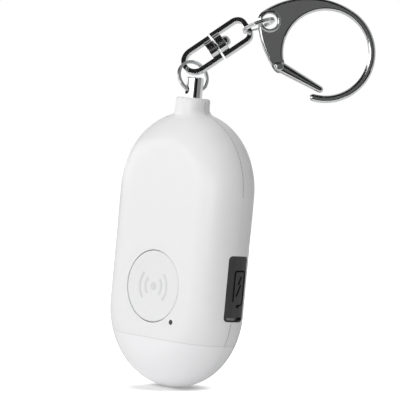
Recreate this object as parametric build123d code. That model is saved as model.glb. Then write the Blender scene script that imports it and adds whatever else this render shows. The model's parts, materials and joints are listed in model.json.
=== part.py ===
from build123d import *
import os
from functools import lru_cache
from math import asin, atan2, cos, degrees, hypot, radians, sin, sqrt

# Personal safety alarm with a pull pin, a swivel and a spring clip.
# Millimetres. The origin is the middle of the casing, on the axis of the pull pin and on the
# plane where the two shells part. +Z runs along the casing to its neck, -Y is the front face,
# and +X is the side with the charging port.

# Casing
case_width = 48.2
case_length = 83.4
front_depth = 9.9
rear_depth = 9.5
front_round = 11.2
rear_round = 7.5
wall = 1.8
neck_diameter = 10.4
neck_height = 4.0
neck_root_round = 2.4
neck_rim_round = 0.8
collar_depth = 9.4
seam_height = 15.0
lip_height = 0.9
lip_thickness = 0.7
part_gap = 0.05
rib_thickness = 0.8
rib_height = 1.6
rib_spacing = 6.4
rib_count = 3
overrun = 2.0

# Lens cap
spigot_height = 2.2
spigot_thickness = 0.75

# Case screws and their bosses
boss_radius = 2.3
boss_margin = 4.0
upper_boss_angle = 30.0
lower_boss_angle = -12.0
screw_radius = 1.0
screw_length = 9.6
screw_head_radius = 1.9
screw_head_height = 1.3
screw_seat_depth = 3.4
screw_head_gap = 0.3

# Push button
button_diameter = 21.3
button_seam_distance = 15.35
button_gap = 0.25
button_skin = 1.4
button_flange_width = 0.95
button_flange_thickness = 0.75
button_dish = 0.25
button_rim_round = 0.35
button_travel = 0.5
button_guide_gap = 0.25
button_guide_thickness = 0.7
button_guide_height = 2.6
button_stem_radius = 2.0
button_clearance = 0.15
contact_gap = 0.05

# Button switch
switch_size = 6.2
switch_height = 3.4
plunger_radius = 1.75
plunger_stand = 0.8
plunger_depth = 0.8
plunger_gap = 0.05

# Status lamp
lamp_x = 8.7
lamp_below_button = 9.95
lamp_radius = 0.5
lamp_recess = 0.15
lamp_boss_radius = 1.4
lamp_boss_height = 1.5
lamp_chip_width = 1.6
lamp_chip_depth = 0.8
lamp_chip_height = 0.8
lamp_air_gap = 0.15

# Main board
board_front = 1.5
board_thickness = 1.0
board_margin = 1.1
board_seam_gap = 0.5
tongue_width = 18.0
tongue_end_gap = 3.9
board_notch_gap = 0.7
board_screw_edge = 3.72
board_screw_z = 3.0
board_boss_radius = 2.0
board_screw_radius = 0.8
board_screw_length = 5.0
board_screw_head_radius = 1.5
board_screw_head_height = 1.0

# Parts on the board
coil_radius = 4.2
coil_height = 4.6
coil_flange = 0.8
coil_waist = 0.7
controller_width = 5.2
controller_length = 6.4
controller_height = 1.5
controller_x = 9.4
controller_z = 8.2
charger_size = 3.2
charger_height = 1.0
charger_x = 12.4
charger_z = 1.6
chip_round = 0.25

# Charging port
port_width = 8.94
port_height = 3.2
port_length = 7.35
port_skin = 0.3
port_tongue_width = 6.7
port_tongue_thickness = 0.7
port_tongue_setback = 0.9
port_cavity_depth = 6.2
port_seam_distance = 17.25
port_window_gap = 0.35
port_setback = 0.2
port_pad_thickness = 1.7
port_pad_margin = 1.2

# Port cover
cover_length = 19.3
cover_width = 7.55
cover_y = 1.17
cover_corner = 1.1
cover_thickness = 1.3
cover_gap = 0.12
cover_back_gap = 0.1
cover_plug_inset = 0.5
cover_plug_reach = 0.9
nail_notch_width = 3.4
nail_notch_length = 1.5
nail_notch_depth = 0.6
tail_radius = 0.8
tail_barb_radius = 1.3
tail_barb_length = 1.2
tail_setback = 1.7

# Battery
battery_thickness = 5.0
battery_round = 1.4
battery_boss_gap = 0.85
battery_spigot_gap = 1.0
battery_siren_gap = 0.5
lead_radius = 0.45
lead_spacing = 1.8
lead_edge_distance = 5.0
lead_drop = 0.75
lead_stand = 1.6
lead_bend = 0.9
lead_gap = 0.02
pad_thickness = 0.5
pad_margin = 1.5

# Siren
siren_drop = 4.2
siren_radius = 15.2
siren_plate_thickness = 0.3
ceramic_radius = 10.5
ceramic_thickness = 0.25
siren_ring_width = 1.85
siren_ring_thickness = 0.5
siren_clamp_width = 1.6
siren_clamp_thickness = 1.0
siren_chamber_depth = 2.3
siren_wall_thickness = 1.05
siren_gap = 0.15
sound_hole_radius = 0.65
sound_ring_step = 2.5
sound_ring_count = 3
sound_holes_per_ring = 6

# Flash lamps
flash_count = 3
flash_spacing = 5.6
flash_size = 2.8
flash_height = 1.1
flash_dome_radius = 1.1
reflector_width = 17.4
reflector_length = 6.8
reflector_depth = 2.6
reflector_throat = 2.05
reflector_mouth = 2.6
reflector_offset = 0.9

# Pull pin and its sleeve and socket
pin_radius = 1.75
pin_length = 12.6
pin_tip_round = 1.2
pin_fit = 0.05
pin_neck_radius = 1.1
pin_neck_length = 0.75
pin_cap_radius = 1.6
pin_cap_thickness = 0.8
band_width = 0.8
band_thickness = 0.4
band_spacing = 2.6
band_count = 2
band_setback = 3.4
sleeve_radius = 3.0
sleeve_length = 7.4
sleeve_flange_radius = 4.0
sleeve_flange_thickness = 1.0
sleeve_flange_drop = 4.0
sleeve_fit = 0.03
socket_width = 8.4
socket_front = 3.6
socket_rear = 3.3
socket_height = 7.6
socket_sleeve_gap = 0.8
socket_round = 0.5
socket_slot = 2.6
contact_width = 2.3
contact_thickness = 0.25
contact_foot = 0.3

# Ferrule on the pin
ferrule_radius = 2.6
ferrule_stand = 6.2
ferrule_chamfer = 0.3
ferrule_fit = 0.15
ferrule_lip = 0.6
ferrule_insert = 2.2
eye_height = 2.3
eye_radius = 1.2
eye_mouth = 0.15
pull_gap = 0.1

# Split rings
ring_diameter = 10.4
ring_wire_width = 0.9
ring_wire_thickness = 0.52
ring_wire_round = 0.18
ring_wire_gap = 0.03
ring_turns = 1.9

# How the chain stands at rest, seen square to the plane that it hangs in
chain_turn = 44.0
ring_turn = 26.0
ring_tilt = -20.0
swivel_lean = 39.3
swivel_roll = 30.0
clip_ring_lean = 24.3
clip_ring_roll = 9.0
clip_lean = -24.2

# Swivel
link_thickness = 1.12
link_depth = 2.1
link_edge_round = 0.3
lower_link_width = 8.8
lower_link_length = 11.5
upper_link_width = 9.4
upper_link_length = 11.2
upper_link_round = 3.2
link_base_length = 2.6
link_base_overlap = 0.35
link_base_round = 0.3
link_waist_length = 1.7
link_waist_depth = 0.3
washer_radius = 2.4
washer_thickness = 0.45
swivel_gap = 0.1
swivel_pin_radius = 1.0
swivel_fit = 0.05
swivel_head_radius = 1.65
swivel_head_height = 1.7
swivel_head_round_share = 0.85
ring_seat_along = 2.0
ring_seat_depth = 0.8
clip_ring_seat_along = 0.8
clip_ring_seat_across = 0.55

# Clip
clip_bore_radius = 12.8
clip_bar = 2.3
clip_thickness = 2.4
clip_edge_round = 0.85
clip_throat_round = 1.6
clip_crown_radius = 24.5
clip_heel_radius = 27.8
eyelet_distance = 19.4
eyelet_lobe_radius = 3.7
eyelet_rim_radius = 3.4
eyelet_rim_height = 0.35
eyelet_rim_round = 0.3
eyelet_radius = 2.55
eyelet_seat_x = 0.85
eyelet_seat_y = 0.85
nose_angle = -76.0
pivot_x = 10.1
pivot_y = 10.4
pivot_lobe_radius = 2.0
pivot_tongue = 1.0
pivot_clearance = 0.3
gate_length = 15.0
gate_heel_radius = 1.75
gate_tip_radius = 1.0
gate_cheek = 0.55
gate_width = 2.4
gate_spine = 0.7
gate_round = 0.25
gate_tip_solid = 2.6
gate_open_angle = 45.0
rivet_radius = 0.6
rivet_fit = 0.05
rivet_head_radius = 1.15
rivet_head_height = 0.45
rivet_round_share = 0.7
spring_wire_radius = 0.17
spring_gap = 0.03
spring_length = 6.0
spring_opening = 0.75

# Sizes worked out from those above
half_width = case_width / 2
half_length = case_length / 2
end_z = half_length - half_width
seam_z = seam_height - half_length
neck_radius = neck_diameter / 2
neck_top = half_length + neck_height
front_face = -front_depth
front_inner = wall - front_depth
rear_inner = rear_depth - wall
button_radius = button_diameter / 2
button_z = seam_z + button_seam_distance
lamp_z = button_z - lamp_below_button
port_z = seam_z + port_seam_distance
board_rear = board_thickness - board_front
boss_reach = half_width - wall - boss_radius - boss_margin
eye_z = neck_top + eye_height
sleeve_top = neck_top - ferrule_insert - pull_gap
pin_top = sleeve_top - pull_gap
board_top = sleeve_top - sleeve_length - socket_sleeve_gap - socket_height
board_bottom = seam_z + spigot_height + board_seam_gap
tongue_low = spigot_thickness + part_gap + wall + tongue_end_gap - half_length
coil_z = end_z
siren_z = end_z - siren_drop
siren_seat_radius = siren_radius + siren_gap + siren_wall_thickness
battery_low = seam_z + spigot_height + battery_spigot_gap
battery_top = siren_z - siren_seat_radius - battery_siren_gap
battery_length = battery_top - battery_low
battery_z = (battery_top + battery_low) / 2
ring_radius = (ring_diameter - ring_wire_width) / 2


# Forms used by several pieces

def front_plane(y):
    """Plane square to Y at a depth, with local x along X and local y along Z, facing the front."""
    return Plane(origin=(0, y, 0), x_dir=(1, 0, 0), z_dir=(0, -1, 0))


def side_plane(x):
    """Plane square to X, with local x along Y and local y along Z, facing the port side."""
    return Plane(origin=(x, 0, 0), x_dir=(0, 1, 0), z_dir=(1, 0, 0))


def depthwise(sketch, front, rear):
    """A sketch drawn in X and Z, made solid from its front depth to its rear depth."""
    return extrude(front_plane(rear) * sketch, rear - front)


def sideways(sketch, near, far):
    """A sketch drawn in Y and Z, made solid from one X to a larger one."""
    return extrude(side_plane(near) * sketch, far - near)


def upright(radius, low, high):
    """A round bar on the Z axis from one height to another."""
    return extrude(Plane.XY.offset(low) * Circle(radius), high - low)


def front_half(shape):
    return split(shape, bisect_by=Plane.XZ, keep=Keep.TOP)


def rear_half(shape):
    return split(shape, bisect_by=Plane.XZ, keep=Keep.BOTTOM)


def above(shape, height):
    return split(shape, bisect_by=Plane.XY.offset(height), keep=Keep.TOP)


def below(shape, height):
    return split(shape, bisect_by=Plane.XY.offset(height), keep=Keep.BOTTOM)


def stadium(inset):
    """Outline of the casing at the parting plane, drawn in by an inset."""
    width = 2 * (parting_reach(0) - inset)
    return SlotOverall(width + 2 * end_z, width, rotation=90)


def parting_reach(inset):
    """Half width of the casing where the front rounding meets the parting plane."""
    radius = front_round - inset
    depth = front_depth - inset
    return half_width - inset - radius + sqrt(radius**2 - min(0, depth - radius) ** 2)


def half_section(inset):
    """Right half of the casing's cross-section, drawn in by an inset."""
    radius = front_round - inset
    depth = front_depth - inset
    rear = rear_depth - inset
    rear_radius = rear_round - inset
    flat = half_width - inset - radius
    reach = parting_reach(inset)
    turn = 90 - degrees(asin(max(0, radius - depth) / radius))
    top = min(0, radius - depth)
    return make_face(
        [
            Line((0, rear), (0, -depth)),
            Line((0, -depth), (flat, -depth)),
            CenterArc((flat, radius - depth), radius, 270, turn),
            Line((reach, top), (reach, rear - rear_radius)),
            CenterArc((reach - rear_radius, rear - rear_radius), rear_radius, 0, 90),
            Line((reach - rear_radius, rear), (0, rear)),
        ]
    )


@lru_cache(maxsize=None)
def case_form(inset=0):
    """The casing's closed pill form, drawn in by an inset on every side."""
    section = half_section(inset)
    side = extrude(Pos(0, 0, -end_z) * section, 2 * end_z)
    low_end = Pos(0, 0, -end_z) * revolve(section, Axis.Y, 180)
    return side + mirror(side, Plane.YZ) + low_end + mirror(low_end, Plane.XY)


def case_bosses():
    """Places of the four case screws, as pairs of X and Z."""
    places = []
    for side in (-1, 1):
        for angle, centre in ((upper_boss_angle, end_z), (lower_boss_angle, -end_z)):
            turn = radians(angle)
            places.append((side * boss_reach * cos(turn), centre + boss_reach * sin(turn)))
    return places


def board_screws_at():
    x = parting_reach(0) - wall - board_margin - board_screw_edge
    return [(-x, board_screw_z), (x, board_screw_z)]


def at_places(places, sketch):
    return Sketch() + [Pos(x, z) * sketch for x, z in places]


# Casing

def with_neck(half, neck):
    """Joins half the neck to half the casing, with a soft root and a rounded rim."""
    body = half + neck
    root = new_edges(half, neck, combined=body).filter_by(
        lambda edge: edge.center().Z > end_z and abs(edge.center().Y) > overrun / 8
    )
    body = fillet(root, neck_root_round)
    rim = body.edges().filter_by(GeomType.CIRCLE).group_by(Axis.Z)[-1]
    return fillet(rim, neck_rim_round)


def outer_half(split_half):
    """Outside of one shell, with its half of the neck."""
    neck = split_half(upright(neck_radius, end_z, neck_top))
    return above(with_neck(split_half(case_form()), neck), seam_z)


def port_outline(margin):
    """Outline of the port cover's recess, widened by a margin, in Y and Z."""
    sketch = RectangleRounded(
        cover_width + 2 * margin, cover_length + 2 * margin, cover_corner + margin
    )
    return Pos(cover_y, port_z) * sketch


def port_recess():
    """The shallow recess that the port cover lies in."""
    skin = case_form() - case_form(cover_thickness + cover_back_gap)
    return skin & sideways(port_outline(cover_gap), 0, case_width)


def port_pad():
    """Block inside the side wall that carries the recess and the charging socket."""
    inner = half_width - cover_thickness - cover_back_gap - port_pad_thickness
    return sideways(port_outline(port_pad_margin), inner, half_width)


def port_window():
    """Opening in the floor of the recess for the charging socket."""
    width = port_width + 2 * port_window_gap
    height = port_height + 2 * port_window_gap
    sketch = Pos(port_centre_y(), port_z) * SlotOverall(width, height, rotation=90)
    return sideways(sketch, port_mouth_x() - port_length, case_width)


def port_centre_y():
    return board_rear + port_height / 2 + part_gap


def port_mouth_x():
    return half_width - cover_thickness - cover_back_gap - port_setback


def tail_z():
    return port_z + cover_length / 2 - tail_setback


def tail_hole():
    sketch = Pos(cover_y, tail_z()) * Circle(tail_radius + part_gap)
    return sideways(sketch, 0, half_width)


def neck_collar():
    return upright(neck_radius, neck_top - collar_depth, neck_top)


def neck_bore():
    """Bore in the neck for the ferrule's foot, the sleeve and the sleeve's flange."""
    flange = sleeve_top - sleeve_flange_drop
    return (
        upright(ferrule_radius + ferrule_fit, sleeve_top, neck_top + overrun)
        + upright(sleeve_radius + sleeve_fit, neck_top - collar_depth - overrun, sleeve_top)
        + upright(
            sleeve_flange_radius + sleeve_fit,
            flange - sleeve_flange_thickness - sleeve_fit,
            flange + sleeve_fit,
        )
    )


def front_shell():
    """Front moulding: face, big rounding, bosses, button guide and the lip at the parting."""
    ribs = at_places(
        [(0, coil_z + (index - 1) * rib_spacing) for index in range(rib_count)],
        Rectangle(half_width, rib_thickness),
    )
    inside = (
        depthwise(at_places(case_bosses(), Circle(boss_radius)), front_face, 0)
        + depthwise(
            at_places(board_screws_at(), Circle(board_boss_radius)), front_face, -board_front
        )
        + depthwise(ribs, front_face, front_inner + rib_height)
        + depthwise(
            Pos(0, button_z) * Circle(guide_radius() + button_guide_thickness),
            front_face,
            front_inner + button_guide_height,
        )
        + depthwise(
            Pos(lamp_x, lamp_z) * Circle(lamp_boss_radius),
            front_face,
            front_inner + lamp_boss_height,
        )
        + neck_collar()
        + port_pad()
    )
    shell = outer_half(front_half) - (front_half(case_form(wall)) - inside)
    shell += seam_lip()
    button_hole = Pos(0, button_z) * Circle(button_radius + button_gap)
    guide_hole = Pos(0, button_z) * Circle(guide_radius())
    pilot = at_places(case_bosses(), Circle(screw_radius + part_gap))
    board_pilot = at_places(board_screws_at(), Circle(board_screw_radius + part_gap))
    return (
        shell
        - depthwise(button_hole, front_face - overrun, front_inner)
        - depthwise(guide_hole, front_inner, front_inner + button_guide_height + overrun)
        - depthwise(Pos(lamp_x, lamp_z) * Circle(lamp_radius + part_gap), front_face, 0)
        - depthwise(pilot, -screw_depth(), lip_height + overrun)
        - depthwise(board_pilot, -board_front - board_screw_length, 0)
        - neck_bore()
        - port_recess()
        - port_window()
        - tail_hole()
    )


def guide_radius():
    return button_radius + button_flange_width + button_guide_gap


def lip_stretch(outer, inner, depth):
    """Ring along the parting plane above the seam, left out at the neck and at the port."""
    ring = depthwise(stadium(outer) - stadium(inner), 0, depth)
    ring -= upright(neck_radius + part_gap, end_z, neck_top)
    margin = port_pad_margin + lip_thickness
    ring -= sideways(port_outline(margin), 0, case_width)
    return above(ring, seam_z)


def seam_lip():
    inner = parting_reach(0) - parting_reach(wall)
    return lip_stretch(inner - lip_thickness, inner, lip_height)


def seam_rebate():
    inner = parting_reach(0) - parting_reach(wall)
    depth = lip_height + part_gap
    return lip_stretch(inner - lip_thickness - part_gap, inner + wall, depth)


def screw_depth():
    """How far the case screws reach in front of the parting plane."""
    return screw_length - (rear_depth - screw_seat_depth)


def sound_holes():
    """Rings of small holes in the rear wall, over the siren."""
    places = [(0, siren_z)]
    for ring in range(1, sound_ring_count + 1):
        count = sound_holes_per_ring * ring
        for index in range(count):
            turn = radians(360 * index / count)
            radius = sound_ring_step * ring
            places.append((radius * sin(turn), siren_z + radius * cos(turn)))
    return depthwise(at_places(places, Circle(sound_hole_radius)), 0, rear_depth + overrun)


def siren_seat():
    """Round wall and ledge in the rear shell that hold the siren."""
    centre = Pos(0, siren_z)
    ledge_inner = siren_radius - siren_ring_width
    wall_ring = centre * (Circle(siren_seat_radius) - Circle(siren_radius + siren_gap))
    ledge = centre * (Circle(siren_seat_radius) - Circle(ledge_inner))
    return depthwise(wall_ring, siren_front(), rear_depth) + depthwise(
        ledge, siren_seat_y(), rear_depth
    )


def siren_seat_y():
    return rear_inner - siren_chamber_depth


def plate_rear():
    return siren_seat_y() - siren_ring_thickness


def plate_front():
    return plate_rear() - siren_plate_thickness


def siren_front():
    return plate_front() - siren_clamp_thickness


def rear_shell():
    """Rear moulding: flat side wall, flat back with sound holes and four screw wells."""
    inside = (
        depthwise(at_places(case_bosses(), Circle(boss_radius)), part_gap, rear_depth)
        + siren_seat()
        + neck_collar()
        + port_pad()
    )
    shell = outer_half(rear_half) - (rear_half(case_form(wall)) - inside)
    well = at_places(case_bosses(), Circle(screw_head_radius + screw_head_gap))
    shank = at_places(case_bosses(), Circle(screw_radius + screw_head_gap))
    return (
        shell
        - seam_rebate()
        - sound_holes()
        - depthwise(well, rear_depth - screw_seat_depth, rear_depth + overrun)
        - depthwise(shank, 0, rear_depth)
        - neck_bore()
        - port_recess()
        - port_window()
        - tail_hole()
    )


def lens_cap():
    """Hollow end of the casing below the seam, with a spigot that goes up into the shells."""
    spigot_inset = wall + part_gap
    spigot = below(above(case_form(spigot_inset), seam_z), seam_z + spigot_height)
    body = below(case_form(), seam_z) + spigot
    return body - below(case_form(spigot_inset + spigot_thickness), seam_z + spigot_height)


def case_screws():
    """Four self-tapping screws, put in from the back."""
    seat = rear_depth - screw_seat_depth
    screws = []
    for x, z in case_bosses():
        head = depthwise(Pos(x, z) * Circle(screw_head_radius), seat, seat + screw_head_height)
        head = fillet(head.edges().sort_by(Axis.Y)[-1], screw_head_height / 3)
        shank = depthwise(Pos(x, z) * Circle(screw_radius), seat - screw_length, seat)
        shank = chamfer(shank.edges().sort_by(Axis.Y)[0], screw_radius / 2)
        screws.append(head + shank)
    return Compound(children=screws)


# Button and status lamp

def sos_button():
    """Round cap with a slight dish, a flange that keeps it in, and a stem to the switch."""
    centre = Pos(0, button_z)
    flange_rear = front_inner + button_clearance + button_flange_thickness
    cap = depthwise(centre * Circle(button_radius), front_face, flange_rear)
    cap = fillet(cap.edges().group_by(Axis.Y)[0], button_rim_round)
    cap += depthwise(
        centre * Circle(button_radius + button_flange_width),
        front_inner + button_clearance,
        flange_rear,
    )
    hollow = button_radius - button_skin
    cap -= depthwise(centre * Circle(hollow), front_face + button_skin, flange_rear)
    cap += depthwise(
        centre * Circle(button_stem_radius), front_face + button_skin / 2, stem_end()
    )
    dish_reach = button_radius - button_skin
    dish_radius = (dish_reach**2 + button_dish**2) / (2 * button_dish)
    dish = Pos(0, front_face + button_dish - dish_radius, button_z) * Sphere(dish_radius)
    return cap - dish


def stem_end():
    return plunger_tip() - contact_gap


def plunger_tip():
    return -board_front - switch_height - plunger_stand


def tact_switch():
    """Body of the push switch, with a well for its plunger."""
    body = depthwise(
        Pos(0, button_z) * RectangleRounded(switch_size, switch_size, switch_size / 8),
        -board_front - switch_height,
        -board_front,
    )
    depth = plunger_depth + button_travel + plunger_gap
    well = depthwise(
        Pos(0, button_z) * Circle(plunger_radius + plunger_gap),
        -board_front - switch_height,
        -board_front - switch_height + depth,
    )
    return body - well


def switch_plunger():
    plunger = depthwise(
        Pos(0, button_z) * Circle(plunger_radius),
        plunger_tip(),
        -board_front - switch_height + plunger_depth,
    )
    return chamfer(plunger.edges().group_by(Axis.Y)[0], plunger_stand / 4)


def status_lamp():
    """Small lamp chip on the board."""
    chip = Rectangle(lamp_chip_width, lamp_chip_depth)
    return depthwise(
        Pos(lamp_x, lamp_z) * chip, -board_front - lamp_chip_height, -board_front
    )


def light_pipe():
    """Clear rod that brings the status lamp's light to the face."""
    rear = -board_front - lamp_chip_height - lamp_air_gap
    rod = depthwise(Pos(lamp_x, lamp_z) * Circle(lamp_radius), front_face + lamp_recess, rear)
    return chamfer(rod.edges().group_by(Axis.Y)[0], lamp_radius / 4)


# Board and what it carries

def main_board():
    """Circuit board: casing outline, notches for the bosses, tongue into the lens cap."""
    outline = stadium(wall + board_margin) & Pos(0, (board_top + board_bottom) / 2) * Rectangle(
        case_width, board_top - board_bottom
    )
    tongue_top = board_bottom + board_margin
    outline += Pos(0, (tongue_top + tongue_low) / 2) * RectangleRounded(
        tongue_width, tongue_top - tongue_low, board_margin
    )
    outline -= at_places(case_bosses(), Circle(boss_radius + board_notch_gap))
    outline -= at_places(board_screws_at(), Circle(board_screw_radius + part_gap))
    board = depthwise(outline, -board_front, board_rear)
    inner = half_width - cover_thickness - cover_back_gap - port_pad_thickness
    pad_zone = sideways(
        port_outline(port_pad_margin + board_notch_gap), inner - board_notch_gap, case_width
    )
    return board - pad_zone


def board_screws():
    screws = []
    for x, z in board_screws_at():
        place = Pos(x, z)
        head = depthwise(
            place * Circle(board_screw_head_radius),
            board_rear,
            board_rear + board_screw_head_height,
        )
        head = fillet(head.edges().sort_by(Axis.Y)[-1], board_screw_head_height / 3)
        shank = depthwise(
            place * Circle(board_screw_radius), -board_front - board_screw_length, board_rear
        )
        screws.append(head + shank)
    return Compound(children=screws)


def step_up_coil():
    """Drum core with a winding waist, which steps the voltage up for the siren."""
    centre = Pos(0, coil_z)
    top = -board_front - coil_height
    core = depthwise(centre * Circle(coil_radius), top, -board_front)
    ring = centre * (Circle(coil_radius) - Circle(coil_radius - coil_waist))
    return core - depthwise(ring, top + coil_flange, -board_front - coil_flange)


def chip(x, z, width, length, height):
    body = depthwise(
        Pos(x, z) * RectangleRounded(width, length, chip_round), -board_front - height, -board_front
    )
    return chamfer(body.edges().group_by(Axis.Y)[0], chip_round)


def controller_chip():
    return chip(
        -controller_x, controller_z, controller_width, controller_length, controller_height
    )


def charger_chip():
    return chip(charger_x, charger_z, charger_size, charger_size, charger_height)


def usb_receptacle():
    """Charging socket: rounded metal shell with its contact tongue."""
    mouth = port_mouth_x()
    place = Pos(port_centre_y(), port_z)
    shell = sideways(
        place * SlotOverall(port_width, port_height, rotation=90), mouth - port_length, mouth
    )
    cavity = sideways(
        place
        * SlotOverall(port_width - 2 * port_skin, port_height - 2 * port_skin, rotation=90),
        mouth - port_cavity_depth,
        mouth,
    )
    tongue = sideways(
        place * Rectangle(port_tongue_thickness, port_tongue_width),
        mouth - port_cavity_depth,
        mouth - port_tongue_setback,
    )
    return shell - cavity + tongue


# Port cover

def port_cover():
    """Rubber flap that follows the casing's side, with a plug and a notch for a nail."""
    skin = case_form() - case_form(cover_thickness)
    flap = skin & sideways(port_outline(0), 0, case_width)
    plug_width = port_width - 2 * port_skin - 2 * cover_plug_inset
    plug_height = port_height - 2 * port_skin - 2 * cover_plug_inset
    plug = sideways(
        Pos(port_centre_y(), port_z) * SlotOverall(plug_width, plug_height, rotation=90),
        port_mouth_x() - cover_plug_reach + port_tongue_setback / 2,
        half_width - cover_thickness,
    )
    low_end = port_z - cover_length / 2
    notch = Pos(cover_y, low_end) * SlotOverall(nail_notch_width, nail_notch_length)
    return flap + plug - sideways(notch, half_width - nail_notch_depth, half_width)


def cover_tail():
    """Rubber stem and barb that keep the flap on the casing."""
    recess_x = half_width - cover_thickness - cover_back_gap
    inner_x = recess_x - port_pad_thickness
    place = Pos(cover_y, tail_z())
    stem = sideways(place * Circle(tail_radius), inner_x - part_gap, recess_x)
    barb = sideways(
        place * Circle(tail_barb_radius), inner_x - part_gap - tail_barb_length, inner_x - part_gap
    )
    barb = chamfer(barb.edges().group_by(Axis.X)[0], tail_barb_length / 3)
    return stem + barb


# Battery and siren

def battery_width():
    """Room between the lower screw bosses, less a gap on each side."""
    boss_x = min(abs(x) for x, z in case_bosses() if z < 0)
    return 2 * (boss_x - boss_radius - battery_boss_gap)


def battery():
    rear = rear_inner - pad_thickness
    pouch = depthwise(
        Pos(0, battery_z) * Rectangle(battery_width(), battery_length),
        rear - battery_thickness,
        rear,
    )
    return fillet(pouch.edges().filter_by(Axis.Z), battery_round)


def battery_pad():
    sketch = Rectangle(battery_width() - 2 * pad_margin, battery_length - 2 * pad_margin)
    return depthwise(Pos(0, battery_z) * sketch, rear_inner - pad_thickness, rear_inner)


def battery_leads():
    """Two sleeved wires from the battery's top edge to the back of the board."""
    y = rear_inner - pad_thickness - battery_thickness + lead_drop
    low = battery_top + lead_gap
    first = battery_width() / 2 - lead_edge_distance
    leads = []
    for x in (first, first - lead_spacing):
        bent = FilletPolyline(
            (x, y, low),
            (x, y, low + lead_stand),
            (x, board_rear + lead_gap, low + lead_stand),
            radius=lead_bend,
        )
        leads.append(sweep(Plane(origin=bent @ 0, z_dir=bent % 0) * Circle(lead_radius), bent))
    return Compound(children=leads)


def siren_disc(outer, inner, front, rear):
    sketch = Circle(outer) - Circle(inner) if inner else Circle(outer)
    return depthwise(Pos(0, siren_z) * sketch, front, rear)


def siren_ring():
    return siren_disc(
        siren_radius, siren_radius - siren_ring_width + part_gap, plate_rear(), siren_seat_y()
    )


def siren_plate():
    return siren_disc(siren_radius, 0, plate_front(), plate_rear())


def siren_ceramic():
    return siren_disc(ceramic_radius, 0, plate_front() - ceramic_thickness, plate_front())


def siren_clamp():
    return siren_disc(
        siren_radius + siren_gap - part_gap,
        siren_radius - siren_clamp_width,
        siren_front(),
        plate_front(),
    )


# Flash lamps

def flash_places():
    middle = (flash_count - 1) / 2
    z = tongue_low + reflector_offset + reflector_length / 2
    return [((index - middle) * flash_spacing, z) for index in range(flash_count)]


def flash_lamps():
    """Lamp chips on the board's tongue, each with a small dome."""
    lamps = []
    for x, z in flash_places():
        body = depthwise(
            Pos(x, z) * RectangleRounded(flash_size, flash_size, chip_round),
            -board_front - flash_height,
            -board_front,
        )
        dome = Pos(x, -board_front - flash_height, z) * Sphere(flash_dome_radius)
        dome = split(dome, bisect_by=front_plane(-board_front - flash_height), keep=Keep.TOP)
        lamps.append(body + dome)
    return Compound(children=lamps)


def lamp_reflector():
    """White tray with a flared pocket round each flash lamp."""
    z = flash_places()[0][1]
    tray = depthwise(
        Pos(0, z) * RectangleRounded(reflector_width, reflector_length, 2 * chip_round),
        -board_front - reflector_depth,
        -board_front,
    )
    for x, lamp_z in flash_places():
        pocket = loft(
            [
                front_plane(-board_front) * (Pos(x, lamp_z) * Circle(reflector_throat)),
                front_plane(-board_front - reflector_depth)
                * (Pos(x, lamp_z) * Circle(reflector_mouth)),
            ]
        )
        tray -= pocket
    return tray


# Pull pin, sleeve and socket

def neck_sleeve():
    """Flanged sleeve that guides the pin, held between the two shells."""
    flange_top = sleeve_top - sleeve_flange_drop
    body = upright(sleeve_radius, sleeve_top - sleeve_length, sleeve_top)
    body += upright(sleeve_flange_radius, flange_top - sleeve_flange_thickness, flange_top)
    bore = upright(
        pin_radius + pin_fit, sleeve_top - sleeve_length - overrun, sleeve_top + overrun
    )
    return body - bore


def pin_socket():
    """Switch block that the pin's tip goes into, on the board's top edge."""
    middle = (socket_rear - socket_front) / 2
    outline = RectangleRounded(socket_width, socket_front + socket_rear, socket_round)
    block = extrude(Plane.XY.offset(board_top) * (Pos(0, middle) * outline), socket_height)
    slot_width = 2 * (pin_radius + contact_thickness + socket_round)
    slot = extrude(
        Plane.XY.offset(board_top - overrun) * Rectangle(slot_width, socket_slot),
        socket_height + 2 * overrun,
    )
    bore = upright(
        pin_radius + 2 * pin_fit, board_top - overrun, board_top + socket_height + overrun
    )
    foot_slot = extrude(
        Plane.XY.offset(board_top) * Rectangle(socket_width + overrun, socket_slot), contact_foot
    )
    return block - slot - bore - foot_slot


def pin_contacts():
    """Two leaf contacts beside the pin, each with a foot on the board's edge."""
    leaves = []
    for side in (-1, 1):
        near = pin_radius + pin_fit
        leaf = Pos(side * (near + contact_thickness / 2), 0, 0) * extrude(
            Plane.XY.offset(board_top) * Rectangle(contact_thickness, contact_width),
            socket_height - contact_foot,
        )
        foot_length = socket_width / 2 - near
        foot = Pos(side * (near + foot_length / 2), 0, 0) * extrude(
            Plane.XY.offset(board_top) * Rectangle(foot_length, contact_width),
            contact_thickness,
        )
        leaves.append(leaf + foot)
    return Compound(children=leaves)


def pin_bands_at():
    low = pin_top - pin_length + band_setback
    return [low + index * band_spacing for index in range(band_count)]


def pin_shaft():
    """Turned pin with a rounded tip, two grooves and a cap that the ferrule turns on."""
    low = pin_top - pin_length
    shaft = upright(pin_radius, low, pin_top)
    shaft = fillet(shaft.edges().group_by(Axis.Z)[0], pin_tip_round)
    cap_low = pin_top + pin_neck_length + pull_gap
    shaft += upright(pin_neck_radius, pin_top, cap_low)
    shaft += upright(pin_cap_radius, cap_low, cap_low + pin_cap_thickness)
    for height in pin_bands_at():
        shaft -= pin_band(height)
    return shaft


def pin_band(height):
    ring = Circle(pin_radius) - Circle(pin_radius - band_thickness)
    return extrude(Plane.XY.offset(height) * ring, band_width)


def pin_bands():
    return Compound(children=[pin_band(height) for height in pin_bands_at()])


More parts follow.
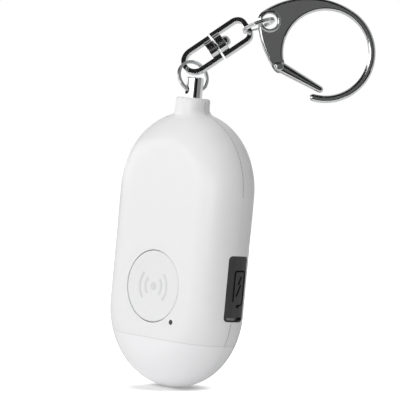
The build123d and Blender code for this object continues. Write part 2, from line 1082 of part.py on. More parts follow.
def pin_head():
    """Chrome ferrule: a foot in the neck, a pocket for the pin's cap and a cross hole."""
    low = neck_top - ferrule_insert
    top = neck_top + ferrule_stand
    body = upright(ferrule_radius, low, top)
    body = chamfer(body.edges().group_by(Axis.Z)[-1], ferrule_chamfer)
    lip_bore = upright(pin_neck_radius + pin_fit, low - overrun, low + ferrule_lip)
    pocket = upright(
        pin_cap_radius + pin_fit,
        low + ferrule_lip,
        low + ferrule_lip + pin_cap_thickness + 2 * pull_gap,
    )
    body -= lip_bore + pocket
    eye = extrude(
        hole_plane() * Circle(eye_radius), ferrule_radius + overrun, both=True
    )
    body -= eye
    mouths = body.edges().filter_by(
        lambda edge: abs(edge.center().Z - eye_z) < eye_radius
        and edge.geom_type not in (GeomType.LINE, GeomType.CIRCLE)
    )
    return chamfer(mouths, eye_mouth) if mouths else body


# Chain, in the upright plane that it hangs in

def chain_vector(across, height, out=0):
    """A vector by its length along the chain's plane, its rise and how far it stands out."""
    turn = radians(chain_turn)
    return Vector(
        across * cos(turn) + out * sin(turn), across * sin(turn) - out * cos(turn), height
    )


def hole_direction():
    """Direction of the ferrule's cross hole, which the first split ring turns about."""
    turn = radians(ring_turn)
    return chain_vector(cos(turn), 0, -sin(turn))


def hole_plane():
    return Plane(origin=(0, 0, eye_z), x_dir=(0, 0, 1), z_dir=hole_direction())


def ring_up():
    """Direction from the cross hole to the middle of the first split ring."""
    turn = radians(ring_turn)
    tilt = radians(ring_tilt)
    out = chain_vector(sin(turn), 0, cos(turn))
    return Vector(0, 0, cos(tilt)) + out * sin(tilt)


def ring_sag():
    """How far the ring's wire bows down inside the cross hole."""
    return (ring_radius - sqrt(ring_radius**2 - ferrule_radius**2)) / 2


def ring_centre():
    return Vector(0, 0, eye_z) + ring_up() * (ring_radius - ring_sag())


def ring_top():
    return ring_centre() + ring_up() * ring_radius


def swivel_axis():
    lean = radians(swivel_lean)
    return chain_vector(cos(lean), sin(lean))


def swivel_across():
    """Direction across the links, square to the swivel's axis, leaning back."""
    lean = radians(swivel_lean)
    roll = radians(swivel_roll)
    return chain_vector(-sin(lean) * cos(roll), cos(lean) * cos(roll), -sin(roll))


def swivel_plane(origin):
    """Plane of the links: local x along the swivel's axis, local y across the links."""
    return Plane(origin=origin, x_dir=swivel_axis(), z_dir=swivel_axis().cross(swivel_across()))


def swivel_centre():
    """Middle of the swivel, where the two links meet."""
    normal = swivel_axis().cross(swivel_across())
    inner_end = ring_top() - swivel_axis() * ring_seat_along - normal * ring_seat_depth
    return inner_end + swivel_axis() * (lower_link_length - link_thickness)


def split_ring_form():
    """Two turns of flat wire on the Z axis."""
    pitch = ring_wire_thickness + ring_wire_gap
    height = pitch * ring_turns
    path = Helix(pitch, height, ring_radius)
    section = Plane(origin=path @ 0, x_dir=(1, 0, 0), z_dir=path % 0) * RectangleRounded(
        ring_wire_width, ring_wire_thickness, ring_wire_round
    )
    return Pos(0, 0, -height / 2) * sweep(section, path=path, is_frenet=True)


def split_ring():
    plane = Plane(
        origin=ring_centre(), x_dir=hole_direction(), z_dir=hole_direction().cross(ring_up())
    )
    return plane.location * split_ring_form()


def link_form(width, length, end_round):
    """A link on the X axis: bent flat bar with a barrel at its open end, which lies at zero."""
    inner_width = width - 2 * link_thickness
    bend = max(end_round - link_thickness, link_thickness)
    outer = Pos(length / 2, 0) * Rectangle(length, width)
    outer = fillet(outer.vertices().group_by(Axis.X)[-1], end_round)
    inner_length = length - link_thickness
    inner = Pos(inner_length / 2, 0) * Rectangle(inner_length, inner_width)
    inner = fillet(inner.vertices().group_by(Axis.X)[-1], bend)
    bar = extrude(outer - inner, link_depth / 2, both=True)
    rims = bar.edges().filter_by(lambda edge: abs(edge.center().Z) > link_depth / 4)
    return fillet(rims, link_edge_round) + link_barrel(inner_width / 2 + link_base_overlap)


def link_barrel(radius):
    """Round base of a link, with rounded ends and a slight waist."""
    barrel = extrude(Plane.YZ * Circle(radius), link_base_length)
    barrel = fillet(barrel.edges().filter_by(GeomType.CIRCLE), link_base_round)
    half_chord = link_waist_length / 2
    waist_radius = (half_chord**2 + link_waist_depth**2) / (2 * link_waist_depth)
    waist = Torus(radius + waist_radius - link_waist_depth, waist_radius)
    return barrel - Pos(link_base_length / 2, 0, 0) * (Rot(0, 90, 0) * waist)


def lower_link():
    """Link on the first split ring, with the swivel pin's hole through its barrel."""
    half = lower_link_width / 2
    form = link_form(lower_link_width, lower_link_length, half - part_gap)
    form -= extrude(Plane.YZ * Circle(swivel_pin_radius), link_base_length)
    return swivel_plane(swivel_centre()).location * (Rot(0, 0, 180) * form)


def upper_link_start():
    return washer_thickness + swivel_gap


def upper_link():
    """Link that turns on the swivel pin and carries the second split ring."""
    form = link_form(upper_link_width, upper_link_length, upper_link_round)
    form -= extrude(Plane.YZ * Circle(swivel_pin_radius + swivel_fit), link_base_length)
    plane = swivel_plane(swivel_centre() + swivel_axis() * upper_link_start())
    return plane.location * form


def swivel_washer():
    ring = Circle(washer_radius) - Circle(swivel_pin_radius)
    return swivel_plane(swivel_centre()).location * extrude(Plane.YZ * ring, washer_thickness)


def swivel_pin():
    """Pin fixed in the lower link, with a domed head inside the upper one."""
    head_low = upper_link_start() + link_base_length + swivel_gap
    shank = extrude(
        Plane.YZ.offset(-link_base_length) * Circle(swivel_pin_radius),
        head_low + link_base_length,
    )
    head = extrude(Plane.YZ.offset(head_low) * Circle(swivel_head_radius), swivel_head_height)
    head = fillet(head.edges().group_by(Axis.X)[-1], swivel_head_radius * swivel_head_round_share)
    return swivel_plane(swivel_centre()).location * (shank + head)


def clip_ring_direction():
    lean = radians(clip_ring_lean)
    return chain_vector(cos(lean), sin(lean))


def clip_ring_side():
    """The other direction in the second ring's plane, nearly square to the chain's plane."""
    lean = radians(clip_ring_lean)
    roll = radians(clip_ring_roll)
    return chain_vector(-sin(lean) * sin(roll), cos(lean) * sin(roll), cos(roll))


def clip_ring_start():
    """Where the second ring's wire crosses the upper link, just inside its end."""
    along = upper_link_start() + upper_link_length - link_thickness - clip_ring_seat_along
    return swivel_centre() + swivel_axis() * along - swivel_across() * clip_ring_seat_across


def clip_ring_centre():
    return clip_ring_start() + clip_ring_direction() * ring_radius


def clip_ring_end():
    return clip_ring_start() + clip_ring_direction() * (2 * ring_radius)


def clip_ring():
    plane = Plane(
        origin=clip_ring_centre(),
        x_dir=-clip_ring_side(),
        z_dir=clip_ring_direction().cross(clip_ring_side()),
    )
    return plane.location * split_ring_form()


# Clip, drawn with its bore's middle at zero and its eyelet on the negative X axis

def clip_plane():
    """Plane of the clip, placed so that the second ring passes through the eyelet."""
    lean = radians(clip_lean)
    along = chain_vector(cos(lean), sin(lean))
    normal = chain_vector(0, 0, 1)
    across = normal.cross(along)
    eyelet = clip_ring_end() - along * eyelet_seat_x - across * eyelet_seat_y
    return Plane(origin=eyelet + along * eyelet_distance, x_dir=along, z_dir=normal)


def bridge_centre(first, first_radius, second, second_radius, radius, side):
    """Middle of a big circle that touches two smaller ones from outside."""
    near = radius - first_radius
    far = radius - second_radius
    span = hypot(second[0] - first[0], second[1] - first[1])
    along = (near**2 - far**2 + span**2) / (2 * span)
    off = sqrt(near**2 - along**2) * side
    ux = (second[0] - first[0]) / span
    uy = (second[1] - first[1]) / span
    return (first[0] + ux * along - uy * off, first[1] + uy * along + ux * off)


def touch_point(centre, other, radius):
    """Point of a big circle on the line from its middle through a touching circle's middle."""
    turn = atan2(other[1] - centre[1], other[0] - centre[0])
    return (centre[0] + radius * cos(turn), centre[1] + radius * sin(turn))


def arc_between(centre, radius, start, end):
    """Shorter arc of a circle from one of its points to another."""
    first = atan2(start[1] - centre[1], start[0] - centre[0])
    second = atan2(end[1] - centre[1], end[0] - centre[0])
    sweep_angle = (degrees(second - first) + 180) % 360 - 180
    return CenterArc(centre, radius, degrees(first), sweep_angle)


def web_outline():
    """Web between the eyelet, the crown of the hook and the gate's pivot, as a closed face."""
    hook = (0, 0)
    eyelet = (-eyelet_distance, 0)
    eyelet_end = (-eyelet_distance - eyelet_lobe_radius, 0)
    pivot = (-pivot_x, -pivot_y)
    hook_radius = clip_bore_radius + clip_bar
    crown = bridge_centre(
        eyelet, eyelet_lobe_radius, hook, hook_radius, clip_crown_radius, -1
    )
    heel = bridge_centre(
        eyelet, eyelet_lobe_radius, pivot, pivot_lobe_radius, clip_heel_radius, 1
    )
    crown_end = touch_point(crown, hook, clip_crown_radius)
    crown_start = touch_point(crown, eyelet, clip_crown_radius)
    heel_start = touch_point(heel, eyelet, clip_heel_radius)
    heel_end = touch_point(heel, pivot, clip_heel_radius)
    return make_face(
        [
            Line(hook, crown_end),
            arc_between(crown, clip_crown_radius, crown_end, crown_start),
            arc_between(eyelet, eyelet_lobe_radius, crown_start, eyelet_end),
            arc_between(eyelet, eyelet_lobe_radius, eyelet_end, heel_start),
            arc_between(heel, clip_heel_radius, heel_start, heel_end),
            Line(heel_end, hook),
        ]
    )


def nose_point():
    turn = radians(nose_angle)
    radius = clip_bore_radius + clip_bar / 2
    return (radius * cos(turn), radius * sin(turn))


def clip_outline():
    """The whole clip seen from its face, without the eyelet's hole."""
    hook_radius = clip_bore_radius + clip_bar
    gap_start = atan2(-pivot_y, -pivot_x)
    gap_end = radians(nose_angle)
    far = 2 * hook_radius
    gap = make_face(
        Polyline(
            (0, 0),
            (far * cos(gap_start), far * sin(gap_start)),
            (far * cos(gap_end), far * sin(gap_end)),
            (0, 0),
        ).edges()
    )
    face = Circle(hook_radius) - gap
    face += web_outline()
    face += Pos(-pivot_x, -pivot_y) * Circle(pivot_lobe_radius)
    face -= Circle(clip_bore_radius)
    face += Pos(*nose_point()) * Circle(clip_bar / 2)
    corner = face.vertices().sort_by_distance((-pivot_x + pivot_lobe_radius, -pivot_y, 0))[0]
    return fillet(corner, clip_throat_round)


def clip_frame():
    """Cast clip: flat web, rounded hook, raised eyelet and a thin tongue for the gate."""
    body = extrude(clip_outline(), clip_thickness / 2, both=True)
    faces = body.faces().filter_by(Axis.Z)
    body = fillet(faces.edges(), clip_edge_round)
    eyelet = Pos(-eyelet_distance, 0, 0)
    rim_height = clip_thickness / 2 + eyelet_rim_height
    rim = extrude(Circle(eyelet_rim_radius), rim_height, both=True)
    rim = fillet(rim.edges().filter_by(GeomType.CIRCLE), eyelet_rim_round)
    body += eyelet * rim
    body -= eyelet * extrude(Circle(eyelet_radius), 2 * rim_height, both=True)
    pivot = Pos(-pivot_x, -pivot_y, 0)
    relief = extrude(Circle(pivot_lobe_radius + pivot_clearance), clip_thickness, both=True)
    relief -= extrude(Circle(clip_thickness + pivot_lobe_radius), pivot_tongue / 2, both=True)
    body -= pivot * relief
    return body - pivot * extrude(
        Circle(rivet_radius + rivet_fit), clip_thickness, both=True
    )


def gate_floor(x):
    """Height of the floor of the gate's channel at a distance from its pivot."""
    taper = (gate_heel_radius - gate_tip_radius) / (gate_length - gate_tip_radius)
    return gate_spine - gate_heel_radius + taper * x


def gate_form():
    """Formed sheet gate on the X axis, its pivot at zero."""
    tip = gate_length - gate_tip_radius
    outline = make_hull(
        Circle(gate_heel_radius).edges() + (Pos(tip, 0) * Circle(gate_tip_radius)).edges()
    )
    body = extrude(outline, gate_width / 2, both=True)
    body = fillet(body.faces().filter_by(Axis.Z).edges(), gate_round)
    channel_end = gate_length - gate_tip_solid
    floor_start, floor_end = gate_floor(-gate_heel_radius), gate_floor(channel_end)
    channel = make_face(
        Polyline(
            (-gate_heel_radius - overrun, floor_start),
            (-gate_heel_radius, floor_start),
            (channel_end, floor_end),
            (channel_end, gate_heel_radius + overrun),
            (-gate_heel_radius - overrun, gate_heel_radius + overrun),
            (-gate_heel_radius - overrun, floor_start),
        ).edges()
    )
    body -= extrude(channel, gate_width / 2 - gate_cheek, both=True)
    heel_room = Circle(pivot_lobe_radius + pivot_clearance)
    body -= extrude(heel_room, gate_width / 2 - gate_cheek, both=True)
    return body - extrude(Circle(rivet_radius + rivet_fit), gate_width, both=True)


def gate_place():
    return clip_plane().location * Pos(-pivot_x, -pivot_y, 0)


def clip_gate():
    return gate_place() * gate_form()


def gate_spring():
    """Hairpin spring in the gate's channel, one leg on its floor, the other against the lobe."""
    near = pivot_lobe_radius + 2 * spring_gap
    far = near + spring_length
    rest = spring_wire_radius + spring_gap
    low_near = (near, gate_floor(near) + rest, 0)
    low_far = (far, gate_floor(far) + rest, 0)
    high_far = (far, gate_floor(far) + rest + spring_opening, 0)
    high_near = (near, gate_floor(near) + rest + 2 * spring_opening, 0)
    bent = FilletPolyline(low_near, low_far, high_far, high_near, radius=spring_opening / 3)
    wire = sweep(Plane(origin=bent @ 0, z_dir=bent % 0) * Circle(spring_wire_radius), bent)
    return gate_place() * wire


def gate_rivet():
    reach = gate_width / 2 + rivet_fit
    pin = extrude(Circle(rivet_radius), reach, both=True)
    for side in (-1, 1):
        head = extrude(Circle(rivet_head_radius), side * rivet_head_height)
        outer_edge = head.edges().filter_by(
            lambda edge: abs(edge.center().Z) > rivet_head_height / 2
        )
        pin += Pos(0, 0, side * reach) * fillet(outer_edge, rivet_head_height * rivet_round_share)
    return gate_place() * pin


def placed_clip_frame():
    return clip_plane().location * clip_frame()


PIECES = {
    "front_shell": front_shell,
    "rear_shell": rear_shell,
    "lens_cap": lens_cap,
    "case_screws": case_screws,
    "sos_button": sos_button,
    "tact_switch": tact_switch,
    "switch_plunger": switch_plunger,
    "status_lamp": status_lamp,
    "light_pipe": light_pipe,
    "main_board": main_board,
    "board_screws": board_screws,
    "step_up_coil": step_up_coil,
    "controller_chip": controller_chip,
    "charger_chip": charger_chip,
    "usb_receptacle": usb_receptacle,
    "port_cover": port_cover,
    "cover_tail": cover_tail,
    "battery": battery,
    "battery_pad": battery_pad,
    "battery_leads": battery_leads,
    "siren_ring": siren_ring,
    "siren_plate": siren_plate,
    "siren_ceramic": siren_ceramic,
    "siren_clamp": siren_clamp,
    "flash_lamps": flash_lamps,
    "lamp_reflector": lamp_reflector,
    "neck_sleeve": neck_sleeve,
    "pin_socket": pin_socket,
    "pin_contacts": pin_contacts,
    "pin_shaft": pin_shaft,
    "pin_bands": pin_bands,
    "pin_head": pin_head,
    "split_ring": split_ring,
    "lower_link": lower_link,
    "swivel_washer": swivel_washer,
    "swivel_pin": swivel_pin,
    "upper_link": upper_link,
    "clip_ring": clip_ring,
    "clip_frame": placed_clip_frame,
    "clip_gate": clip_gate,
    "gate_spring": gate_spring,
    "gate_rivet": gate_rivet,
}


def main():
    os.makedirs("parts", exist_ok=True)
    for name, make in PIECES.items():
        export_step(make(), f"parts/{name}.step")


if __name__ == "__main__":
    main()
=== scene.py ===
"""Personal safety alarm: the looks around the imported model, in metres, in its own frame."""

import json
import logging
import math
from dataclasses import dataclass, field
from enum import Enum
from typing import Sequence

import bmesh
import bpy
from mathutils import Matrix, Vector
from mathutils.bvhtree import BVHTree


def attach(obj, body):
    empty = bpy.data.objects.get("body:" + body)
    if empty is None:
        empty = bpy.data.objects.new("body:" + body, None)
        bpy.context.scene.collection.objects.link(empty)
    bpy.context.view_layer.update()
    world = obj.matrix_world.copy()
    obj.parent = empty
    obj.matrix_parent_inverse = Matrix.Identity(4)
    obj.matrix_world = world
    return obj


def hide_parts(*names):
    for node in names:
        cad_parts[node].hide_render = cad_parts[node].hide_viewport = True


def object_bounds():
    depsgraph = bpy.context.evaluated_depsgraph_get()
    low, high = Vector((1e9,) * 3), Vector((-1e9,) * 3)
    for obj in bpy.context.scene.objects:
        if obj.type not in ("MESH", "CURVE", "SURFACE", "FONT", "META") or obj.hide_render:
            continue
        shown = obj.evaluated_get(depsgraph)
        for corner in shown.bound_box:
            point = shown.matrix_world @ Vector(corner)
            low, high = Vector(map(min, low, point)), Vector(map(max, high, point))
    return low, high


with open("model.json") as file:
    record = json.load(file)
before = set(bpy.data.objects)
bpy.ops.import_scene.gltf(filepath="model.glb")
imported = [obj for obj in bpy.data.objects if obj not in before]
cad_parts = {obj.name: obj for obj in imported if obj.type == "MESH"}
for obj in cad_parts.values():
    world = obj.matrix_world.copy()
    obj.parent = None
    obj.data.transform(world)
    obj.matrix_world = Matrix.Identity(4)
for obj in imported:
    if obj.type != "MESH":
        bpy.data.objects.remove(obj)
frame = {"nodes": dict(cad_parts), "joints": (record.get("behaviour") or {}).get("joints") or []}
cad_low, cad_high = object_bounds()

MM = 0.001
LOG = logging.getLogger("safety_alarm")
Number = float | int
Colour = tuple[float, float, float]
Place = tuple[float, float, float]
Point = tuple[float, float]
Spot = tuple[Vector, Vector]
Stroke = tuple[Sequence[Point], float, float]
Form = bmesh.types.BMesh
Values = dict[str | int, object]
Extras = tuple[tuple[str, object], ...]

WHITE: Colour = (1.0, 1.0, 1.0)
WELD = 1e-7
FACE_WEIGHT = 80
SHARP_LINK, SHARP_SIGN, SHARP_FINE = 40.0, 50.0, 60.0
AXIS_RADIUS = 1e-8
MOST_ROUNDING = 0.49
STRIP_SHARES = (-1.0, -0.7, 0.7, 1.0)
STRIP_SINK = 0.5
STRIP_ENDS = ((30.0, 1.0), (60.0, 0.6), (85.0, -STRIP_SINK))


# Shader expressions


class Wave(Enum):
    """Kinds of texture that a finish can be broken up with."""

    GRAIN = "TexNoise"
    CELLS = "TexVoronoi"


@dataclass(frozen=True)
class Pattern:
    """A texture over a piece.

    Attributes:
        scale: Features to a metre.
        detail: Layers of finer features.
        stretch: How many times finer it is along each axis.
        low: The value up to which its mask is 0.
        high: The value from which its mask is 1.
        wave: Its kind.
    """

    scale: float
    detail: float = 2.0
    stretch: Place = (1.0, 1.0, 1.0)
    low: float = 0.0
    high: float = 1.0
    wave: Wave = Wave.GRAIN


class Term:
    """An output of a node that can be used in ordinary expressions."""

    def __init__(self, tree: "ShaderTree", socket: bpy.types.NodeSocket) -> None:
        """Keeps the tree and the output."""
        self.tree = tree
        self.socket = socket

    def _math(self, operation: str, other: "Term | Number") -> "Term":
        """Joins this term to another with a Math node."""
        return self.tree.node("Math", {"operation": operation}, {0: self, 1: other})

    def __add__(self, other: "Term | Number") -> "Term":
        """Sum of two terms."""
        return self._math("ADD", other)

    __radd__ = __add__

    def __sub__(self, other: "Term | Number") -> "Term":
        """This term less another."""
        return self._math("SUBTRACT", other)

    def __mul__(self, other: "Term | Number") -> "Term":
        """Product of two terms."""
        return self._math("MULTIPLY", other)

    __rmul__ = __mul__

    def __truediv__(self, other: "Term | Number") -> "Term":
        """This term divided by another."""
        return self._math("DIVIDE", other)

    def most(self, other: "Term | Number") -> "Term":
        """The larger of two terms."""
        return self._math("MAXIMUM", other)

    def swing(self, reach: float) -> "Term":
        """A texture's value as a swing to both sides of nothing."""
        return (self - 0.5) * reach

    def between(self, low: Number, high: Number) -> "Term":
        """Rises smoothly from 0 at one value to 1 at another."""
        sockets = {"Value": self, "From Min": low, "From Max": high}
        return self.tree.node("MapRange", {"interpolation_type": "SMOOTHSTEP"}, sockets)


class ShaderTree:
    """Builds the nodes of one material or of the world."""

    def __init__(self, owner: bpy.types.Material | bpy.types.World) -> None:
        """Empties the owner's node tree.

        Args:
            owner: The material or world.
        """
        owner.use_nodes = True
        self.tree = owner.node_tree
        self.tree.nodes.clear()

    def add(
        self, kind: str, settings: Values | None = None, sockets: Values | None = None
    ) -> bpy.types.Node:
        """Adds one node, with its settings first and then its sockets.

        Args:
            kind: The node's type, without ShaderNode.
            settings: Properties of the node.
            sockets: Values or terms for its inputs, by name or index.

        Returns:
            The node.
        """
        node = self.tree.nodes.new("ShaderNode" + kind)
        for name, value in (settings or {}).items():
            setattr(node, name, value)
        for name, value in (sockets or {}).items():
            socket = node.inputs[name]
            if isinstance(value, Term):
                self.tree.links.new(value.socket, socket)
            else:
                socket.default_value = (*value, 1.0) if socket.type == "RGBA" else value
        return node

    def node(
        self,
        kind: str,
        settings: Values | None = None,
        sockets: Values | None = None,
        output: str | int = 0,
    ) -> Term:
        """Adds one node as add does, and gives one of its outputs."""
        return Term(self, self.add(kind, settings, sockets).outputs[output])

    def place(self) -> Term:
        """Position on the piece, in metres."""
        return self.node("TexCoord", output="Object")

    def along(self, way: Vector) -> Term:
        """How far a place lies along a direction."""
        settings = {"operation": "DOT_PRODUCT"}
        return self.node("VectorMath", settings, {0: self.place(), 1: tuple(way)}, "Value")

    def ray(self, kind: str) -> Term:
        """1 for rays of one kind."""
        return self.node("LightPath", output=f"Is {kind} Ray")

    def texture(self, pattern: Pattern) -> Term:
        """A texture's value over the surface, from 0 to 1.

        Args:
            pattern: The texture.

        Returns:
            The value.
        """
        sockets = {0: self.place(), 1: pattern.stretch}
        spread = self.node("VectorMath", {"operation": "MULTIPLY"}, sockets)
        sockets = {"Vector": spread, "Scale": pattern.scale}
        if pattern.wave is Wave.GRAIN:
            sockets["Detail"] = pattern.detail
        return self.node(pattern.wave.value, None, sockets)

    def blend(self, share: Term, first: Colour | Term, second: Colour | Term) -> Term:
        """Mixes two colours, with a share of the second."""
        return self.node("Mix", {"data_type": "RGBA"}, {0: share, 6: first, 7: second}, 2)

    def relief(self, height: Term, distance: float) -> Term:
        """The normal bent by a height from 0 to 1, which is a distance in metres deep."""
        return self.node("Bump", None, {"Height": height, "Distance": distance, "Strength": 1.0})

    def output(self, shader: Term, kind: str = "Material") -> None:
        """Sends a shader to the output of a material or of the world."""
        self.add("Output" + kind, None, {"Surface": shader})


# Finishes


@dataclass(frozen=True)
class Finish:
    """A colour that one texture tones, over a relief from another.

    Attributes:
        name: The material's name.
        colour: Its colour.
        roughness: Its roughness.
        tone: The texture that tones the colour.
        toned: How much of the colour there is where the tone's mask is full.
        depth: The relief's depth in metres.
        tint: What is added to the colour where the mask is full.
        mask_rough: What the tone's mask adds to the roughness.
        tone_swing: How far the tone swings the roughness.
        grain: The texture in relief, if it isn't the tone.
        grain_swing: How far the grain swings the roughness.
        extras: Further sockets of the shader.
    """

    name: str
    colour: Colour
    roughness: float
    tone: Pattern
    toned: float
    depth: float
    tint: float = 0.0
    mask_rough: float = 0.0
    tone_swing: float = 0.0
    grain: Pattern | None = None
    grain_swing: float = 0.0
    extras: Extras = ()

    def material(self) -> bpy.types.Material:
        """The finish's material, made once, unless a packed material already has its name.

        Returns:
            The material.
        """
        found = bpy.data.materials.get(self.name)
        if not found:
            found = bpy.data.materials.new(self.name)
            self.build(ShaderTree(found))
        return found

    def mask(self, tone: Term) -> Term:
        """Where the colour is toned."""
        return tone.between(self.tone.low, self.tone.high)

    def height(self, tree: ShaderTree, mask: Term, grain: Term) -> Term:
        """The relief's height, from 0 to 1."""
        return grain

    def build(self, tree: ShaderTree) -> None:
        """Adds the finish's nodes.

        Args:
            tree: The material's tree.
        """
        tone = tree.texture(self.tone)
        mask = self.mask(tone)
        grain = tree.texture(self.grain) if self.grain else tone
        toned = tuple(channel * self.toned + self.tint for channel in self.colour)
        rough = self.roughness
        if self.mask_rough:
            rough = mask * self.mask_rough + rough
        if self.tone_swing:
            rough = tone.swing(self.tone_swing) + rough
        if self.grain_swing:
            rough = grain.swing(self.grain_swing) + rough
        sockets = {
            "Base Color": tree.blend(mask, self.colour, toned),
            "Roughness": rough,
            "Normal": tree.relief(self.height(tree, mask, grain), self.depth),
            **dict(self.extras),
        }
        tree.output(tree.node("BsdfPrincipled", None, sockets))


@dataclass(frozen=True)
class MouldedPlastic(Finish):
    """Injection moulded plastic with a fine spark-eroded grain and faint flow marks."""

    tone: Pattern = Pattern(70.0, 3.0, (1.0, 1.0, 0.35), 0.35, 0.75)
    toned: float = 0.985
    tone_swing: float = 0.08
    grain: Pattern = Pattern(5200.0, 3.0)
    grain_swing: float = 0.05
    depth: float = 6e-6
    pit_scale: float = 0.6
    pit_share: float = 0.3

    def height(self, tree: ShaderTree, mask: Term, grain: Term) -> Term:
        """The grain, with pits in it."""
        pits = tree.texture(Pattern(self.grain.scale * self.pit_scale, wave=Wave.CELLS))
        return grain * (1.0 - self.pit_share) + pits * self.pit_share


@dataclass(frozen=True)
class MilkyPlastic(Finish):
    """Plastic that lets light through, with faint clouds inside and a soft grain."""

    tone: Pattern = Pattern(120.0, 4.0, low=0.3, high=0.8)
    toned: float = 0.975
    tone_swing: float = 0.06
    grain: Pattern = Pattern(4200.0)
    depth: float = 4e-6
    extras: Extras = (
        ("Subsurface Weight", 0.35),
        ("Subsurface Radius", (0.004, 0.004, 0.004)),
        ("Subsurface Scale", 0.4),
    )


@dataclass(frozen=True)
class Rubber(Finish):
    """Matt moulded rubber with fine pores and a trace of dust."""

    tone: Pattern = Pattern(900.0, 6.0, low=0.5, high=0.8)
    toned: float = 1.5
    tint: float = 0.01
    mask_rough: float = 0.12
    grain: Pattern = Pattern(3800.0, wave=Wave.CELLS)
    depth: float = 9e-6
    extras: Extras = (("Sheen Weight", 0.06), ("Sheen Roughness", 0.5))


@dataclass(frozen=True)
class Plated(Finish):
    """Polished plated metal with faint polishing lines and a few rubbed spots."""

    tone: Pattern = Pattern(260.0, 5.0, low=0.55, high=0.8)
    toned: float = 0.93
    mask_rough: float = 0.05
    grain: Pattern = Pattern(1500.0, stretch=(1.0, 1.0, 0.15))
    grain_swing: float = 0.03
    depth: float = 0.8e-6
    extras: Extras = (("Metallic", 1.0),)


@dataclass(frozen=True)
class Worked(Finish):
    """Bare metal with turning or rolling marks."""

    tone: Pattern = Pattern(2600.0, 3.0, (0.1, 0.1, 1.0), 0.3, 0.8)
    toned: float = 0.85
    tone_swing: float = 0.12
    depth: float = 4e-6
    extras: Extras = (("Metallic", 1.0),)


@dataclass(frozen=True)
class SolderMask(Finish):
    """Lacquered board with copper tracks, from a stepped cell pattern, that show through."""

    tone: Pattern = Pattern(420.0, low=0.28, high=0.34, wave=Wave.CELLS)
    toned: float = 0.62
    grain: Pattern = Pattern(3000.0)
    grain_swing: float = 0.05
    depth: float = 2e-5
    extras: Extras = (("Coat Weight", 0.4), ("Coat Roughness", 0.1))

    def height(self, tree: ShaderTree, mask: Term, grain: Term) -> Term:
        """The tracks."""
        return mask


@dataclass(frozen=True)
class Speckled(Finish):
    """Pressed or fired stuff with a speckle, such as ferrite, ceramic or foam."""

    tone: Pattern = Pattern(2400.0, 6.0, low=0.4, high=0.7)
    toned: float = 0.8
    tone_swing: float = 0.2
    depth: float = 1e-5


@dataclass(frozen=True)
class ClearRod(Finish):
    """Smoked clear plastic, glossy, with a dark core and faint streaks along the rod."""

    tone: Pattern = Pattern(3000.0, stretch=(1.0, 0.1, 1.0))
    toned: float = 0.8
    depth: float = 2e-6
    extras: Extras = (("Coat Weight", 0.6), ("Coat Roughness", 0.05))

    def mask(self, tone: Term) -> Term:
        """The streaks as they are."""
        return tone


BUTTON_GRAIN = Pattern(4600.0, 3.0)
SOCKET_MARKS = Pattern(2600.0, 3.0, (1.0, 0.2, 1.0), 0.3, 0.8)
ROLLED_MARKS = Pattern(2600.0, 3.0, (1.0, 1.0, 0.1), 0.3, 0.8)
FOIL_MARKS = Pattern(900.0, 3.0, low=0.3, high=0.8)
FOAM_SPECKLE = Pattern(3200.0, 6.0, low=0.4, high=0.7)
DULL: Extras = (("Specular IOR Level", 0.1),)

WHITE_CASE = MouldedPlastic("white_case", (0.83, 0.83, 0.835), 0.36)
BUTTON_WHITE = MouldedPlastic("button_white", (0.88, 0.88, 0.885), 0.38, grain=BUTTON_GRAIN)
SIGN_WHITE = MouldedPlastic("sign_white", (0.76, 0.76, 0.77), 0.34)
WHITE_TRAY = MouldedPlastic("white_tray", (0.82, 0.82, 0.80), 0.45)
PARTING_SHADE = MouldedPlastic("parting_shade", (0.34, 0.34, 0.345), 0.6)
SEAM_SHADE = MouldedPlastic("seam_shade", (0.75, 0.75, 0.755), 0.5)
BLACK_PLASTIC = MouldedPlastic("black_plastic", (0.02, 0.02, 0.021), 0.5, depth=1.2e-5)
CHIP_BLACK = MouldedPlastic("chip_black", (0.03, 0.03, 0.032), 0.6, depth=1.5e-5)
MILKY_LENS = MilkyPlastic("milky_lens", (0.86, 0.86, 0.865), 0.32)
PORT_RUBBER = Rubber("port_rubber", (0.036, 0.036, 0.037), 0.6)
# Near-black rubber for the cover's sign, and painted shade for the strip in its notch.
SIGN_RUBBER_AND_NOTCH_SHADE = Rubber("sign_rubber_and_notch_shade", (0.002, 0.002, 0.002), 0.85, tint=0.0, extras=DULL)
TAB_RUBBER = Rubber("tab_rubber", (0.17, 0.17, 0.17), 0.5)
CLEAR_SILICONE = Rubber("clear_silicone", (0.55, 0.55, 0.54), 0.4)
LEAD_SLEEVE = Rubber("lead_sleeve", (0.5, 0.03, 0.03), 0.4)
CHROME = Plated("chrome_plate", (0.72, 0.725, 0.735), 0.07)
SCREW_STEEL = Worked("screw_steel", (0.52, 0.53, 0.55), 0.35)
# Painted shade: a near-black steel for the strips laid where the screws' cross recesses fall into
# shade.
RECESS_PAINTED_SHADE = Worked("recess_painted_shade", (0.06, 0.06, 0.065), 0.55)
PIN_STEEL = Worked("pin_steel", (0.6, 0.61, 0.63), 0.25)
SOCKET_STEEL = Worked("socket_steel", (0.58, 0.59, 0.61), 0.3, SOCKET_MARKS)
BRASS = Worked("rolled_brass", (0.72, 0.55, 0.24), 0.28, ROLLED_MARKS)
POUCH = Worked("pouch_foil", (0.6, 0.61, 0.63), 0.4, FOIL_MARKS)
BOARD = SolderMask("solder_mask", (0.02, 0.17, 0.07), 0.35)
FERRITE = Speckled("ferrite", (0.05, 0.05, 0.055), 0.7)
CERAMIC = Speckled("fired_ceramic", (0.75, 0.74, 0.68), 0.45, toned=0.9)
FOAM = Speckled("foam_tape", (0.8, 0.8, 0.74), 0.8, FOAM_SPECKLE, 0.75)
PHOSPHOR = Speckled("phosphor", (0.85, 0.75, 0.22), 0.3, toned=0.92)
SMOKED_ROD = ClearRod("smoked_rod", (0.012, 0.012, 0.014), 0.15)


# Mesh building


